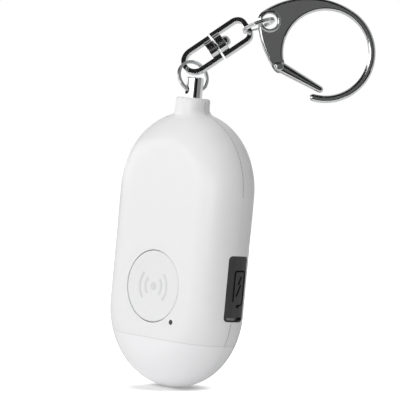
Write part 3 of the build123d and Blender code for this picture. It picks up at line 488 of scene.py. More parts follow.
def put(name: str, data: bpy.types.ID) -> bpy.types.Object:
    """Puts an object in the scene.

    Args:
        name: Its name.
        data: Its mesh, light or camera.

    Returns:
        The object.
    """
    made = bpy.data.objects.new(name, data)
    bpy.context.scene.collection.objects.link(made)
    return made


def mesh_object(form: Form, name: str, material: bpy.types.Material) -> bpy.types.Object:
    """Turns a built form into an object with one material.

    Args:
        form: The built form.
        name: The object's name.
        material: Its material.

    Returns:
        The object.
    """
    mesh = bpy.data.meshes.new(name)
    form.to_mesh(mesh)
    form.free()
    mesh.materials.append(material)
    return put(name, mesh)


def piece(
    form: Form, name: str, finish: Finish, sharp: float, body: str, slot: str, *nodes: str
) -> None:
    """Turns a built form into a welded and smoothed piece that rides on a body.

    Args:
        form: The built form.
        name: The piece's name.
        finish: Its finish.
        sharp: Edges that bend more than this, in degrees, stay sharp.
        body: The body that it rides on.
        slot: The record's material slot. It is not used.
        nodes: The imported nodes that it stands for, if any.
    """
    form.normal_update()
    bmesh.ops.remove_doubles(form, verts=form.verts, dist=WELD)
    bmesh.ops.recalc_face_normals(form, faces=form.faces)
    made = mesh_object(form, name, finish.material())
    plain = made.data
    plain.shade_smooth()
    plain.set_sharp_from_angle(angle=math.radians(sharp))
    keep = made.modifiers.new("weight", "WEIGHTED_NORMAL")
    keep.keep_sharp = True
    keep.weight = FACE_WEIGHT
    graph = bpy.context.evaluated_depsgraph_get()
    graph.update()
    mesh = bpy.data.meshes.new_from_object(made.evaluated_get(graph))
    made.modifiers.clear()
    made.data = mesh
    bpy.data.meshes.remove(plain)
    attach(made, body)
    if nodes:
        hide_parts(*nodes)
    LOG.info("%s rides on %s", name, body)


def weave(
    form: Form, grid: Sequence[Sequence[Vector]], loops: bool = False, closed: bool = False
) -> list[list[bmesh.types.BMVert]]:
    """Makes the faces between rows of points, all of one length or a single point.

    Args:
        form: The mesh being built.
        grid: The rows of points.
        loops: Whether each row is a loop.
        closed: Whether the last row joins the first.

    Returns:
        The rows of vertices.
    """
    rows = [[form.verts.new(point) for point in line] for line in grid]
    for first, second in list(zip(rows, rows[1:])) + ([(rows[-1], rows[0])] if closed else []):
        for index in range(max(len(first), len(second)) - (0 if loops else 1)):
            places = ((first, index), (first, index + 1), (second, index + 1), (second, index))
            corners = list(dict.fromkeys(row[place % len(row)] for row, place in places))
            if len(corners) > 2:
                form.faces.new(corners)
    return rows


def cap_ends(form: Form, rows: Sequence[Sequence[bmesh.types.BMVert]]) -> None:
    """Closes both ends of a tube."""
    form.faces.new(rows[0][::-1])
    form.faces.new(rows[-1])


def spaced(steps: int, first: float = 0.0, last: float = 1.0) -> list[float]:
    """Evenly spaced values from one to another, with both ends."""
    return [first + (last - first) * step / steps for step in range(steps + 1)]


def circle(steps: int) -> list[Point]:
    """Points of a circle of radius 1."""
    turns = [math.tau * index / steps for index in range(steps)]
    return [(math.cos(turn), math.sin(turn)) for turn in turns]


def arc(centre: Point, radius: float, first: float, last: float, steps: int) -> list[Point]:
    """Points of an arc.

    Args:
        centre: Its centre.
        radius: Its radius.
        first: Its first angle, in degrees.
        last: Its last angle, in degrees.
        steps: Segments along it.

    Returns:
        The points, with both ends.
    """
    return [
        (centre[0] + radius * math.cos(turn), centre[1] + radius * math.sin(turn))
        for turn in map(math.radians, spaced(steps, first, last))
    ]


def rounded_section(width: float, height: float, radius: float, steps: int) -> list[Point]:
    """Corner points of a rectangle with rounded corners, centred on zero.

    Args:
        width: Size along the first direction.
        height: Size along the second direction.
        radius: Corner radius.
        steps: Segments in each corner.

    Returns:
        The points, in order.
    """
    points = []
    for side, level, start in ((1, 1, 0), (-1, 1, 90), (-1, -1, 180), (1, -1, 270)):
        centre = (side * (width / 2 - radius), level * (height / 2 - radius))
        points += arc(centre, radius, start, start + 90, steps)
    return points


def sweep(form: Form, path: Sequence[Vector], face: Vector, section: Sequence[Point]) -> None:
    """Carries a section along an open path and closes both ends.

    Args:
        form: The mesh being built.
        path: Points of the path.
        face: The section's second direction.
        section: Points of the section.
    """
    grid = []
    for index, point in enumerate(path):
        run = (path[min(index + 1, len(path) - 1)] - path[max(index - 1, 0)]).normalized()
        side = run.cross(face).normalized()
        rise = side.cross(run).normalized()
        grid.append([point + side * x + rise * y for x, y in section])
    cap_ends(form, weave(form, grid, loops=True))


def turn_profile(
    form: Form, profile: Sequence[Point], origin: Vector, axis: Vector, segments: int
) -> None:
    """Turns a profile about an axis, closed where it reaches the axis.

    Args:
        form: The mesh being built.
        profile: Pairs of radius and height, from one end to the other.
        origin: Where the height is zero.
        axis: The axis.
        segments: Steps round the axis.
    """
    across = axis.orthogonal().normalized()
    other = axis.cross(across)
    grid = []
    for radius, height in profile:
        centre = origin + axis * height
        spots = [centre + (across * x + other * y) * radius for x, y in circle(segments)]
        grid.append(spots if radius > AXIS_RADIUS else [centre])
    weave(form, grid, loops=True)


def soft_profile(points: Sequence[tuple[float, float, float]], steps: int) -> list[Point]:
    """A path with rounded corners.

    Args:
        points: Both coordinates and the rounding of each corner.
        steps: Segments in each rounding.

    Returns:
        The path's points.
    """
    out = [points[0][:2]]
    for before, here, after in zip(points, points[1:], points[2:]):
        corner = Vector(here[:2])
        to_before = Vector(before[:2]) - corner
        to_after = Vector(after[:2]) - corner
        most = min(to_before.length, to_after.length) * MOST_ROUNDING
        start = corner + to_before.normalized() * min(here[2], most)
        end = corner + to_after.normalized() * min(here[2], most)
        for share in spaced(steps):
            out.append(tuple(start.lerp(corner, share).lerp(corner.lerp(end, share), share)))
    return [*out, points[-1][:2]]


def evenly(path: Sequence[Point], step: float) -> list[Point]:
    """A path with points no further apart than a step.

    Args:
        path: The path's points.
        step: The largest distance between points.

    Returns:
        The denser path.
    """
    out = [tuple(path[0])]
    for first, second in zip(path, path[1:]):
        for share in spaced(max(1, math.ceil(math.dist(first, second) / step)))[1:]:
            out.append(tuple(here + (there - here) * share for here, there in zip(first, second)))
    return out


def ribbon(
    form: Form, spots: Sequence[Spot], width: float, lift: float, closed: bool = False
) -> None:
    """Lays a low strip with softened edges along a surface, with round ends where it is open.

    Args:
        form: The mesh being built.
        spots: Points of the surface along the strip, each with its outward direction.
        width: The strip's width.
        lift: How far it stands out.
        closed: Whether the strip is a loop.
    """
    half, last = width / 2, len(spots) - 1
    rows = []
    for index, (point, out) in enumerate(spots):
        before = spots[index - 1][0] if index or closed else point
        after = spots[(index + 1) % len(spots)][0] if index < last or closed else point
        run = (after - before).normalized()
        rows.append((point, run, out.cross(run).normalized(), out, half, lift))
    if not closed:
        for end, way in ((0, -1.0), (-1, 1.0)):
            point, run, side, out = rows[end][:4]
            caps = []
            for turn, level in STRIP_ENDS:
                bend = math.radians(turn)
                place = point + run * (way * half * math.sin(bend))
                caps.append((place, run, side, out, half * math.cos(bend), lift * level))
            rows = rows + caps if way > 0 else caps[::-1] + rows
    grid = []
    for point, _, side, out, reach, rise in rows:
        sunk = -lift * STRIP_SINK
        section = [(share, rise if abs(share) < 1.0 else sunk) for share in STRIP_SHARES]
        grid.append([point + side * (reach * share) + out * height for share, height in section])
    weave(form, grid, closed=closed)


class Ground:
    """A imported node's surface, which thin work is laid on."""

    def __init__(self, node: str, way: Place) -> None:
        """Takes the node's mesh.

        Args:
            node: The node's name.
            way: The direction in which its surface is looked for.
        """
        self.way = Vector(way).normalized()
        graph = bpy.context.evaluated_depsgraph_get()
        self.tree = BVHTree.FromObject(frame["nodes"][node], graph)

    def spot(self, point: Vector) -> Spot:
        """The surface's place and outward direction at a point in front of it."""
        hit, out, _, _ = self.tree.ray_cast(point, self.way)
        return hit, -out if out.dot(self.way) > 0 else out


def dress(finish: Finish, *nodes: str) -> None:
    """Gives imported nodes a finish.

    Args:
        finish: The finish.
        nodes: The nodes' names.
    """
    for name in nodes:
        mesh = frame["nodes"][name].data
        mesh.materials.clear()
        mesh.materials.append(finish.material())
        LOG.info("%s dressed in %s", name, finish.name)


def joint(name: str) -> Spot:
    """A joint's place in metres and its unit axis, at rest."""
    found = next(item for item in frame["joints"] if item["name"] == name)
    return Vector(found.get("pos_m", (0, 0, 0))), Vector(found["axis"]).normalized()


# Casing


@dataclass
class Casing:
    """The two shells, the lens cap, the fine lines between them and what they hold."""

    front: float = 9.9 * MM
    rear: float = 9.5 * MM
    front_round: float = 11.2 * MM
    rear_round: float = 7.5 * MM
    half_width: float = 24.1 * MM
    end: float = 17.6 * MM
    seam: float = -26.7 * MM
    neck: float = 5.2 * MM
    neck_top: float = 44.7 * MM
    neck_round: float = 2.4 * MM
    cover_top: float = 0.3 * MM
    cover_low: float = -19.2 * MM
    line_width: float = 0.16 * MM
    seam_width: float = 0.3 * MM
    line_lift: float = 0.012 * MM
    window: Place = (8.85 * MM, -9.9 * MM, -21.15 * MM)
    window_radius: float = 0.78 * MM
    window_edge: float = 0.96
    window_rise: float = 0.06 * MM
    window_rings: tuple[float, ...] = (0.8, 0.6, 0.4, 0.2, 0.0)
    window_segments: int = 40
    cross_reach: float = 0.85 * MM
    cross_width: float = 0.42 * MM
    cross_lift: float = 0.03 * MM
    behind: float = 40.0 * MM
    steps: int = 24
    end_steps: int = 72

    def reach(self) -> float:
        """Half width where the two shells meet."""
        inner = self.half_width - self.front_round
        return inner + math.sqrt(self.front_round**2 - (self.front_round - self.front) ** 2)

    def rim(self) -> list[tuple[float, float, float]]:
        """Half of the casing's section, from front to rear.

        Returns:
            Reach from the middle, Y and the angle of the outward direction.
        """
        large, small, quarter = self.front_round, self.rear_round, math.pi / 2
        centre = large - self.front
        parts = (
            (self.half_width - large, centre, large, -quarter, -math.asin(centre / large)),
            (self.reach() - small, self.rear - small, small, 0.0, quarter),
        )
        points = []
        for across, deep, radius, first, last in parts:
            for turn in spaced(self.steps, first, last):
                reach = across + radius * math.cos(turn)
                points.append((reach, deep + radius * math.sin(turn), turn))
        return points

    def seam_spots(self) -> list[Spot]:
        """The line where the lens cap meets the shells, as a loop.

        Returns:
            Its points and outward directions.
        """
        drop = self.seam + self.end
        half = []
        for reach, depth, turn in self.rim():
            across = math.sqrt(reach**2 - drop**2)
            level = math.cos(turn) / reach
            out = Vector((across * level, math.sin(turn), drop * level))
            half.append((Vector((across, depth, self.seam)), out))
        mirror = Vector((-1.0, 1.0, 1.0))
        return half + [(point * mirror, out * mirror) for point, out in reversed(half)]

    def parting_spots(self, side: int) -> list[Spot]:
        """The line where the two shells meet, on one side.

        Args:
            side: 1 for the side with the port, -1 for the other.

        Returns:
            Its points and outward directions, from the seam to the neck.
        """

        def spokes(steps: int, first: float, last: float) -> list[Vector]:
            """Directions from the middle of an end, between two angles."""
            turns = spaced(steps, first, last)
            return [Vector((side * math.cos(turn), 0.0, math.sin(turn))) for turn in turns]

        reach, end = self.reach(), Vector((0.0, 0.0, self.end))
        low = -math.asin((-self.seam - self.end) / reach)
        root_x = self.neck + self.neck_round
        root_z = math.sqrt((reach + self.neck_round) ** 2 - root_x**2)
        top = math.atan2(root_z, root_x)
        root = Vector((side * root_x, 0.0, self.end + root_z))
        spots = [(way * reach - end, way) for way in spokes(self.steps, low, 0.0)]
        spots += [(way * reach + end, way) for way in spokes(self.end_steps, 0.0, top)]
        spots += [(root - way * self.neck_round, way) for way in spokes(self.steps, top, 0.0)[1:]]
        neck = Vector((side * self.neck, 0.0, self.neck_top))
        return [*spots, (neck, Vector((side, 0.0, 0.0)))]

    def line(
        self, name: str, runs: Sequence[Sequence[Spot]], width: float, shade: Finish, closed: bool
    ) -> None:
        """Adds one fine shadow line.

        Args:
            name: The piece's name.
            runs: Its stretches.
            width: Its width.
            shade: Its finish.
            closed: Whether its stretches are loops.
        """
        form = bmesh.new()
        for spots in runs:
            ribbon(form, spots, width, self.line_lift, closed)
        piece(form, name, shade, SHARP_FINE, "casing", "white_case")

    def lamp_window(self) -> None:
        """Adds the small dark lens over the status lamp's rod."""
        radius, half = self.window_radius, self.window_rise / 2
        profile = [(radius, -half), (radius * self.window_edge, half)]
        profile += [(radius * share, half * (2.0 - share**2)) for share in self.window_rings]
        form = bmesh.new()
        outward = Vector((0.0, -1.0, 0.0))
        turn_profile(form, profile, Vector(self.window), outward, self.window_segments)
        piece(form, "lamp_window", SMOKED_ROD, SHARP_SIGN, "casing", "smoked_lens")

    def screw_crosses(self) -> None:
        """Adds a dark cross strip on the head of each case screw, painted shade for its cross
        recess.
        """
        ground = Ground("case_screws", (0.0, -1.0, 0.0))
        points = [vertex.co for vertex in frame["nodes"]["case_screws"].data.vertices]
        form = bmesh.new()
        for side, level in ((-1, -1), (-1, 1), (1, -1), (1, 1)):
            own = [point for point in points if point.x * side > 0 and point.z * level > 0]
            x, z = (
                (min(point[axis] for point in own) + max(point[axis] for point in own)) / 2
                for axis in (0, 2)
            )
            middle = Vector((x, self.behind, z))
            for arm in ((self.cross_reach, 0.0, 0.0), (0.0, 0.0, self.cross_reach)):
                spots = [ground.spot(middle + Vector(arm) * way) for way in (-1.0, 1.0)]
                ribbon(form, spots, self.cross_width, self.cross_lift)
        piece(form, "screw_crosses", RECESS_PAINTED_SHADE, SHARP_FINE, "casing", "screw_steel")

    def build(self) -> None:
        """Dresses the shells, the lens cap and the screws, and adds the lines between them."""
        dress(WHITE_CASE, "front_shell", "rear_shell")
        dress(MILKY_LENS, "lens_cap")
        dress(SCREW_STEEL, "case_screws", "board_screws")
        dress(WHITE_TRAY, "neck_sleeve", "lamp_reflector")
        port_side = self.parting_spots(1)
        above = [spot for spot in port_side if spot[0].z > self.cover_top]
        under = [spot for spot in port_side if spot[0].z < self.cover_low]
        parting = [above, under, self.parting_spots(-1)]
        self.line("parting_line", parting, self.line_width, PARTING_SHADE, False)
        self.line("seam_line", [self.seam_spots()], self.seam_width, SEAM_SHADE, True)
        self.lamp_window()
        self.screw_crosses()


@dataclass
class Electronics:
    """The board and everything on it, the battery and the siren."""

    finishes: tuple[tuple[Finish, tuple[str, ...]], ...] = (
        (BOARD, ("main_board",)),
        (BLACK_PLASTIC, ("tact_switch", "switch_plunger", "siren_clamp", "pin_socket")),
        (FERRITE, ("step_up_coil",)),
        (CHIP_BLACK, ("controller_chip", "charger_chip")),
        (SOCKET_STEEL, ("usb_receptacle",)),
        (PHOSPHOR, ("status_lamp", "flash_lamps")),
        (SMOKED_ROD, ("light_pipe",)),
        (POUCH, ("battery",)),
        (FOAM, ("battery_pad",)),
        (LEAD_SLEEVE, ("battery_leads",)),
        (BRASS, ("siren_plate", "pin_contacts")),
        (CERAMIC, ("siren_ceramic",)),
        (CLEAR_SILICONE, ("siren_ring",)),
    )

    def build(self) -> None:
        """Dresses each node."""
        for finish, nodes in self.finishes:
            dress(finish, *nodes)


@dataclass
class AlarmButton:
    """The round push button with a plain alarm sign in low relief."""

    centre: Point = (0.0, -11.35 * MM)
    face: float = -9.9 * MM
    dish: float = 0.25 * MM
    reach: float = 9.25 * MM
    relief: float = 0.14 * MM
    sink: float = 0.04 * MM
    stroke: float = 0.95 * MM
    offsets: tuple[float, ...] = (-0.5, -0.36, 0.36, 0.5)
    dot: float = 1.25 * MM
    dot_top: float = 0.88
    arcs: tuple[float, ...] = (3.3 * MM, 5.6 * MM)
    spread: float = 44.0
    end_share: float = 0.02
    arc_steps: int = 28
    dot_steps: int = 40

    def point(self, x: float, z: float, edge: bool) -> Vector:
        """A point of the sign over the button's dished face.

        Args:
            x: Distance from the button's middle along X.
            z: Distance from the button's middle along Z.
            edge: Whether it is sunk into the face instead of raised.

        Returns:
            The point.
        """
        ball = (self.reach**2 + self.dish**2) / (2 * self.dish)
        flat = min(math.hypot(x, z), self.reach)
        y = self.face + self.dish - (ball - math.sqrt(ball**2 - flat**2))
        y += self.sink if edge else -self.relief
        return Vector((self.centre[0] + x, y, self.centre[1] + z))

    def sound_arc(self, form: Form, radius: float, middle: float) -> None:
        """Raises one arc of the sign, with a softened edge.

        Args:
            form: The mesh being built.
            radius: The arc's radius.
            middle: The angle of its middle, in degrees.
        """
        inner = spaced(self.arc_steps)[1:-1]
        grid = []
        for share in (0.0, self.end_share, *inner, 1.0 - self.end_share, 1.0):
            turn = math.radians(middle - self.spread + 2 * self.spread * share)
            row = []
            for offset in self.offsets:
                reach = radius + self.stroke * offset
                edge = share in (0.0, 1.0) or offset in (self.offsets[0], self.offsets[-1])
                row.append(self.point(reach * math.cos(turn), reach * math.sin(turn), edge))
            grid.append(row)
        weave(form, grid)

    def sign_dot(self, form: Form) -> None:
        """Raises the round spot in the middle of the sign.

        Args:
            form: The mesh being built.
        """
        rims = ((self.dot, True), (self.dot * self.dot_top, False))
        grid = [
            [self.point(radius * x, radius * z, edge) for x, z in circle(self.dot_steps)]
            for radius, edge in rims
        ]
        form.faces.new(weave(form, grid, loops=True)[-1])

    def build(self) -> None:
        """Dresses the button and adds the sign."""
        dress(BUTTON_WHITE, "sos_button")
        form = bmesh.new()
        self.sign_dot(form)
        for radius in self.arcs:
            for middle in (0.0, 180.0):
                self.sound_arc(form, radius, middle)
        piece(form, "button_sign", SIGN_WHITE, SHARP_SIGN, "alarm_button", "white_case")


@dataclass
class PortCover:
    """The rubber flap over the charging port, with a plain battery sign in low relief."""

    middle: float = 1.95 * MM
    half: float = 2.1 * MM
    top: float = -4.1 * MM
    bottom: float = -13.9 * MM
    gap_end: float = -12.9 * MM
    corner: float = 0.9 * MM
    corner_steps: int = 6
    stroke: float = 0.54 * MM
    relief: float = 0.1 * MM
    dot: float = 0.56 * MM
    dot_length: float = 0.05 * MM
    dot_relief: float = 0.12 * MM
    bolt_upper: tuple[Point, ...] = ((2.5 * MM, -5.9 * MM), (1.6 * MM, -8.0 * MM))
    bolt_lower: tuple[Point, ...] = ((2.5 * MM, -8.3 * MM), (1.1 * MM, -11.4 * MM))
    before: float = 40.0 * MM
    spacing: float = 0.25 * MM
    tab: tuple[Point, ...] = ((-1.5 * MM, -18.25 * MM), (0.9 * MM, -18.35 * MM))
    tab_width: float = 0.8 * MM
    notch: tuple[Point, ...] = ((2.5 * MM, -18.2 * MM), (3.9 * MM, -18.2 * MM))
    notch_width: float = 1.0 * MM
    notch_relief: float = 0.03 * MM

    def sign(self, name: str, finish: Finish, strokes: Sequence[Stroke]) -> None:
        """Lays strokes on the flap's surface.

        Args:
            name: The piece's name.
            finish: Its finish.
            strokes: Path in Y and Z, width and lift of each stroke.
        """
        ground = Ground("port_cover", (-1.0, 0.0, 0.0))
        form = bmesh.new()
        for path, width, lift in strokes:
            places = [Vector((self.before, y, z)) for y, z in evenly(path, self.spacing)]
            ribbon(form, [ground.spot(place) for place in places], width, lift)
        piece(form, name, finish, SHARP_SIGN, "port_flap", "black_rubber")

    def build(self) -> None:
        """Dresses the flap and its tail, and adds the sign, a near-black strip of painted shade
        in the notch, and the tab.
        """
        dress(PORT_RUBBER, "port_cover", "cover_tail")
        near, far = self.middle - self.half, self.middle + self.half
        end = self.bottom - self.dot
        corners = [(near, self.gap_end), (near, self.top), (far, self.top), (far, self.bottom)]
        corners.append((self.middle, end))
        outline = soft_profile([(*point, self.corner) for point in corners], self.corner_steps)
        dot = ((self.middle, end), (self.middle, end - self.dot_length))
        lines = (outline, self.bolt_upper, self.bolt_lower)
        strokes = [
            *((path, self.stroke, self.relief) for path in lines),
            (dot, 2 * self.dot, self.dot_relief),
            # Painted shade: the notch is drawn as a near-black strip where it falls into shade.
            (self.notch, self.notch_width, self.notch_relief),
        ]
        self.sign("cover_sign_and_notch_shade", SIGN_RUBBER_AND_NOTCH_SHADE, strokes)
        self.sign("cover_tab", TAB_RUBBER, [(self.tab, self.tab_width, self.relief)])


# Chain


@dataclass(frozen=True)
class Link:
    """One link of the swivel.

    Attributes:
        node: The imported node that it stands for.
        body: The body that it rides on.
        way: 1 or -1, the way in which it runs along the swivel's axis.
        start: Where it starts along the axis, in millimetres, as all its sizes.
        width: Its whole width.
        length: Its whole length.
        end_round: The outer radius of its far corners.
        base: The radius of its barrel.
    """

    node: str
    body: str
    way: float
    start: float
    width: float
    length: float
    end_round: float
    base: float


@dataclass
class Chain:
    """The chrome pieces between the pull pin and the clip, and the clip itself."""

    eyelet: Place = (12.7369 * MM, 16.7749 * MM, 70.9013 * MM)
    rim_middle: float = 2.78 * MM
    rim_round: float = 0.46 * MM
    rim_height: float = 1.2 * MM
    gate_length: float = 15.0 * MM
    gate_heel: float = 1.75 * MM
    gate_tip: float = 1.1 * MM
    gate_least: float = 0.02 * MM
    gate_half_width: float = 1.2 * MM
    gate_fullness: float = 2.5
    gate_steps: int = 24
    gate_segments: int = 40
    rim_segments: int = 80
    lip_segments: int = 20
    swivel: Place = (1.437 * MM, 6.245 * MM, 61.5613 * MM)
    axis: Place = (0.5567, 0.5376, 0.6334)
    across: Place = (-0.7419, -0.0214, 0.6702)
    barrel_length: float = 2.6 * MM
    barrel_round: float = 0.22 * MM
    barrel_steps: int = 5
    barrel_segments: int = 72
    hub: float = 1.1 * MM
    bar: float = 1.55 * MM
    depth: float = 1.6 * MM
    bar_round: float = 0.13 * MM
    bar_steps: int = 3
    bend_steps: int = 12
    links: tuple[Link, ...] = (
        Link("lower_link", "swivel_lower", -1.0, 0.0, 9.3, 11.75, 4.6, 3.22),
        Link("upper_link", "swivel_upper", 1.0, 0.55, 9.9, 11.45, 3.45, 3.56),
    )

    def link(self, link: Link) -> None:
        """Adds one link: a bent flat bar on a smooth round base.

        Args:
            link: The link's sizes and place.
        """
        axis, across = Vector(self.axis).normalized(), Vector(self.across).normalized()
        run, start = axis * link.way, Vector(self.swivel) + axis * (link.start * MM)
        form = bmesh.new()
        radius, height = link.base * MM, self.barrel_length
        corners = [
            (self.hub, 0.0, 0.0),
            (radius, 0.0, self.barrel_round),
            (radius, height, self.barrel_round),
            (self.hub, height, 0.0),
            (self.hub, 0.0, 0.0),
        ]
        profile = soft_profile(corners, self.barrel_steps)
        turn_profile(form, profile, start, run.normalized(), self.barrel_segments)
        inset = self.bar / 2
        half, bend = link.width * MM / 2 - inset, link.end_round * MM - inset
        far = link.length * MM - inset - bend
        path = [(0.0, half)]
        for side, first in ((1, 90.0), (-1, 0.0)):
            path += arc((far, side * (half - bend)), bend, first, first - 90.0, self.bend_steps)
        path.append((0.0, -half))
        section = rounded_section(self.bar, self.depth, self.bar_round, self.bar_steps)
        spots = [start + run * x + across * y for x, y in path]
        sweep(form, spots, run.cross(across).normalized(), section)
        piece(form, f"{link.node}_bar", CHROME, SHARP_LINK, link.body, "chrome", link.node)

    def rims(self, out: Vector) -> None:
        """Adds the rolled lip round both mouths of the eyelet.

        Args:
            out: The direction in which the clip faces.
        """
        form = bmesh.new()
        across = out.orthogonal().normalized()
        other = out.cross(across)
        lip = [(self.rim_round * x, self.rim_round * y) for x, y in circle(self.lip_segments)]
        for way in (-1, 1):
            grid = []
            for x, y in circle(self.rim_segments):
                spoke = across * x + other * y
                middle = Vector(self.eyelet) + spoke * self.rim_middle
                middle += out * way * self.rim_height
                grid.append([middle + spoke * bow + out * rise for bow, rise in lip])
            weave(form, grid, loops=True, closed=True)
        piece(form, "eyelet_lip", CHROME, SHARP_FINE, "spring_clip", "chrome")

    def gate(self, pivot: Vector, out: Vector) -> None:
        """Adds the gate, full and rounded, from its heel at the rivet to its tip.

        Args:
            pivot: The middle of the rivet.
            out: The direction in which the clip faces.
        """
        points = [vertex.co for vertex in frame["nodes"]["clip_gate"].data.vertices]
        along = max(points, key=lambda point: (point - pivot).length) - pivot
        along = (along - out * along.dot(out)).normalized()
        side = out.cross(along)
        tip = self.gate_length - self.gate_tip
        stations = arc((0.0, 0.0), self.gate_heel, 180.0, 90.0, self.bend_steps)
        taper = self.gate_tip - self.gate_heel
        for share in spaced(self.gate_steps)[1:-1]:
            stations.append((tip * share, self.gate_heel + taper * share))
        stations += arc((tip, 0.0), self.gate_tip, 90.0, 0.0, self.bend_steps)
        power = 2.0 / self.gate_fullness
        ring = [
            (math.copysign(abs(bow) ** power, bow), math.copysign(abs(rise) ** power, rise))
            for bow, rise in circle(self.gate_segments)
        ]
        grid = []
        for place, half in stations:
            slim = max(half, self.gate_least)
            deep = self.gate_half_width * min(1.0, math.sqrt(slim / self.gate_tip))
            middle = pivot + along * place
            grid.append([middle + side * (x * slim) + out * (y * deep) for x, y in ring])
        form = bmesh.new()
        cap_ends(form, weave(form, grid, loops=True))
        piece(form, "gate_bar", CHROME, SHARP_FINE, "clip_gate", "chrome", "clip_gate")

    def build(self) -> None:
        """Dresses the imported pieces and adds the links, the lip and the gate."""
        dress(CHROME, "pin_head", "split_ring", "swivel_washer", "swivel_pin")
        dress(CHROME, "clip_ring", "clip_frame", "gate_rivet")
        dress(PIN_STEEL, "pin_shaft", "gate_spring")
        dress(BRASS, "pin_bands")
        pivot, out = joint("gate_swing")
        for link in self.links:
            self.link(link)
        self.rims(out)
        self.gate(pivot, out)


# Stage


@dataclass(frozen=True)
class Card:
    """A card seen only in reflections: its shade, and its angles from the camera in degrees."""

    name: str
    shade: float
    left: float
    right: float
    low: float
    high: float
    steps: int = 12


@dataclass
class Viewpoint:
    """The camera: a long lens at the photograph's angle, with its slight roll."""

    azimuth: float = 43.8
    elevation: float = 1.8
    roll: float = 5.34
    scale: float = 0.3015 * MM
    image: int = 400
    middle: Point = (179.3, 249.0)
    lens: float = 200.0
    sensor: float = 36.0
    nearest: float = 0.01
    farthest: float = 20.0
    right: Vector = field(init=False)
    up: Vector = field(init=False)
    back: Vector = field(init=False)
    across: Vector = field(init=False)
    level_back: Vector = field(init=False)
    target: Vector = field(init=False)

    def __post_init__(self) -> None:
        """Works out the camera's directions and what it points at."""
        turn, rise, lean = map(math.radians, (self.azimuth, self.elevation, self.roll))
        self.across = Vector((math.cos(turn), math.sin(turn), 0.0))
        self.level_back = Vector((math.sin(turn), -math.cos(turn), 0.0))
        self.back = self.level_back * math.cos(rise) + Vector((0.0, 0.0, math.sin(rise)))
        level = self.back.cross(self.across)
        self.right = self.across * math.cos(lean) + level * math.sin(lean)
        self.up = level * math.cos(lean) - self.across * math.sin(lean)
        right, down = (place - self.image / 2 for place in self.middle)
        self.target = (self.up * down - self.right * right) * self.scale

    def build(self) -> None:
        """Makes the camera."""
        data = bpy.data.cameras.new("camera")
        data.lens = self.lens
        data.sensor_width = self.sensor
        data.clip_start = self.nearest
        data.clip_end = self.farthest
        data.dof.use_dof = False
        made = put("camera", data)
        distance = self.image * self.scale * self.lens / self.sensor
        turn = Matrix((self.right, self.up, self.back)).transposed().to_4x4()
        made.matrix_world = Matrix.Translation(self.target + self.back * distance) @ turn
        bpy.context.scene.camera = made


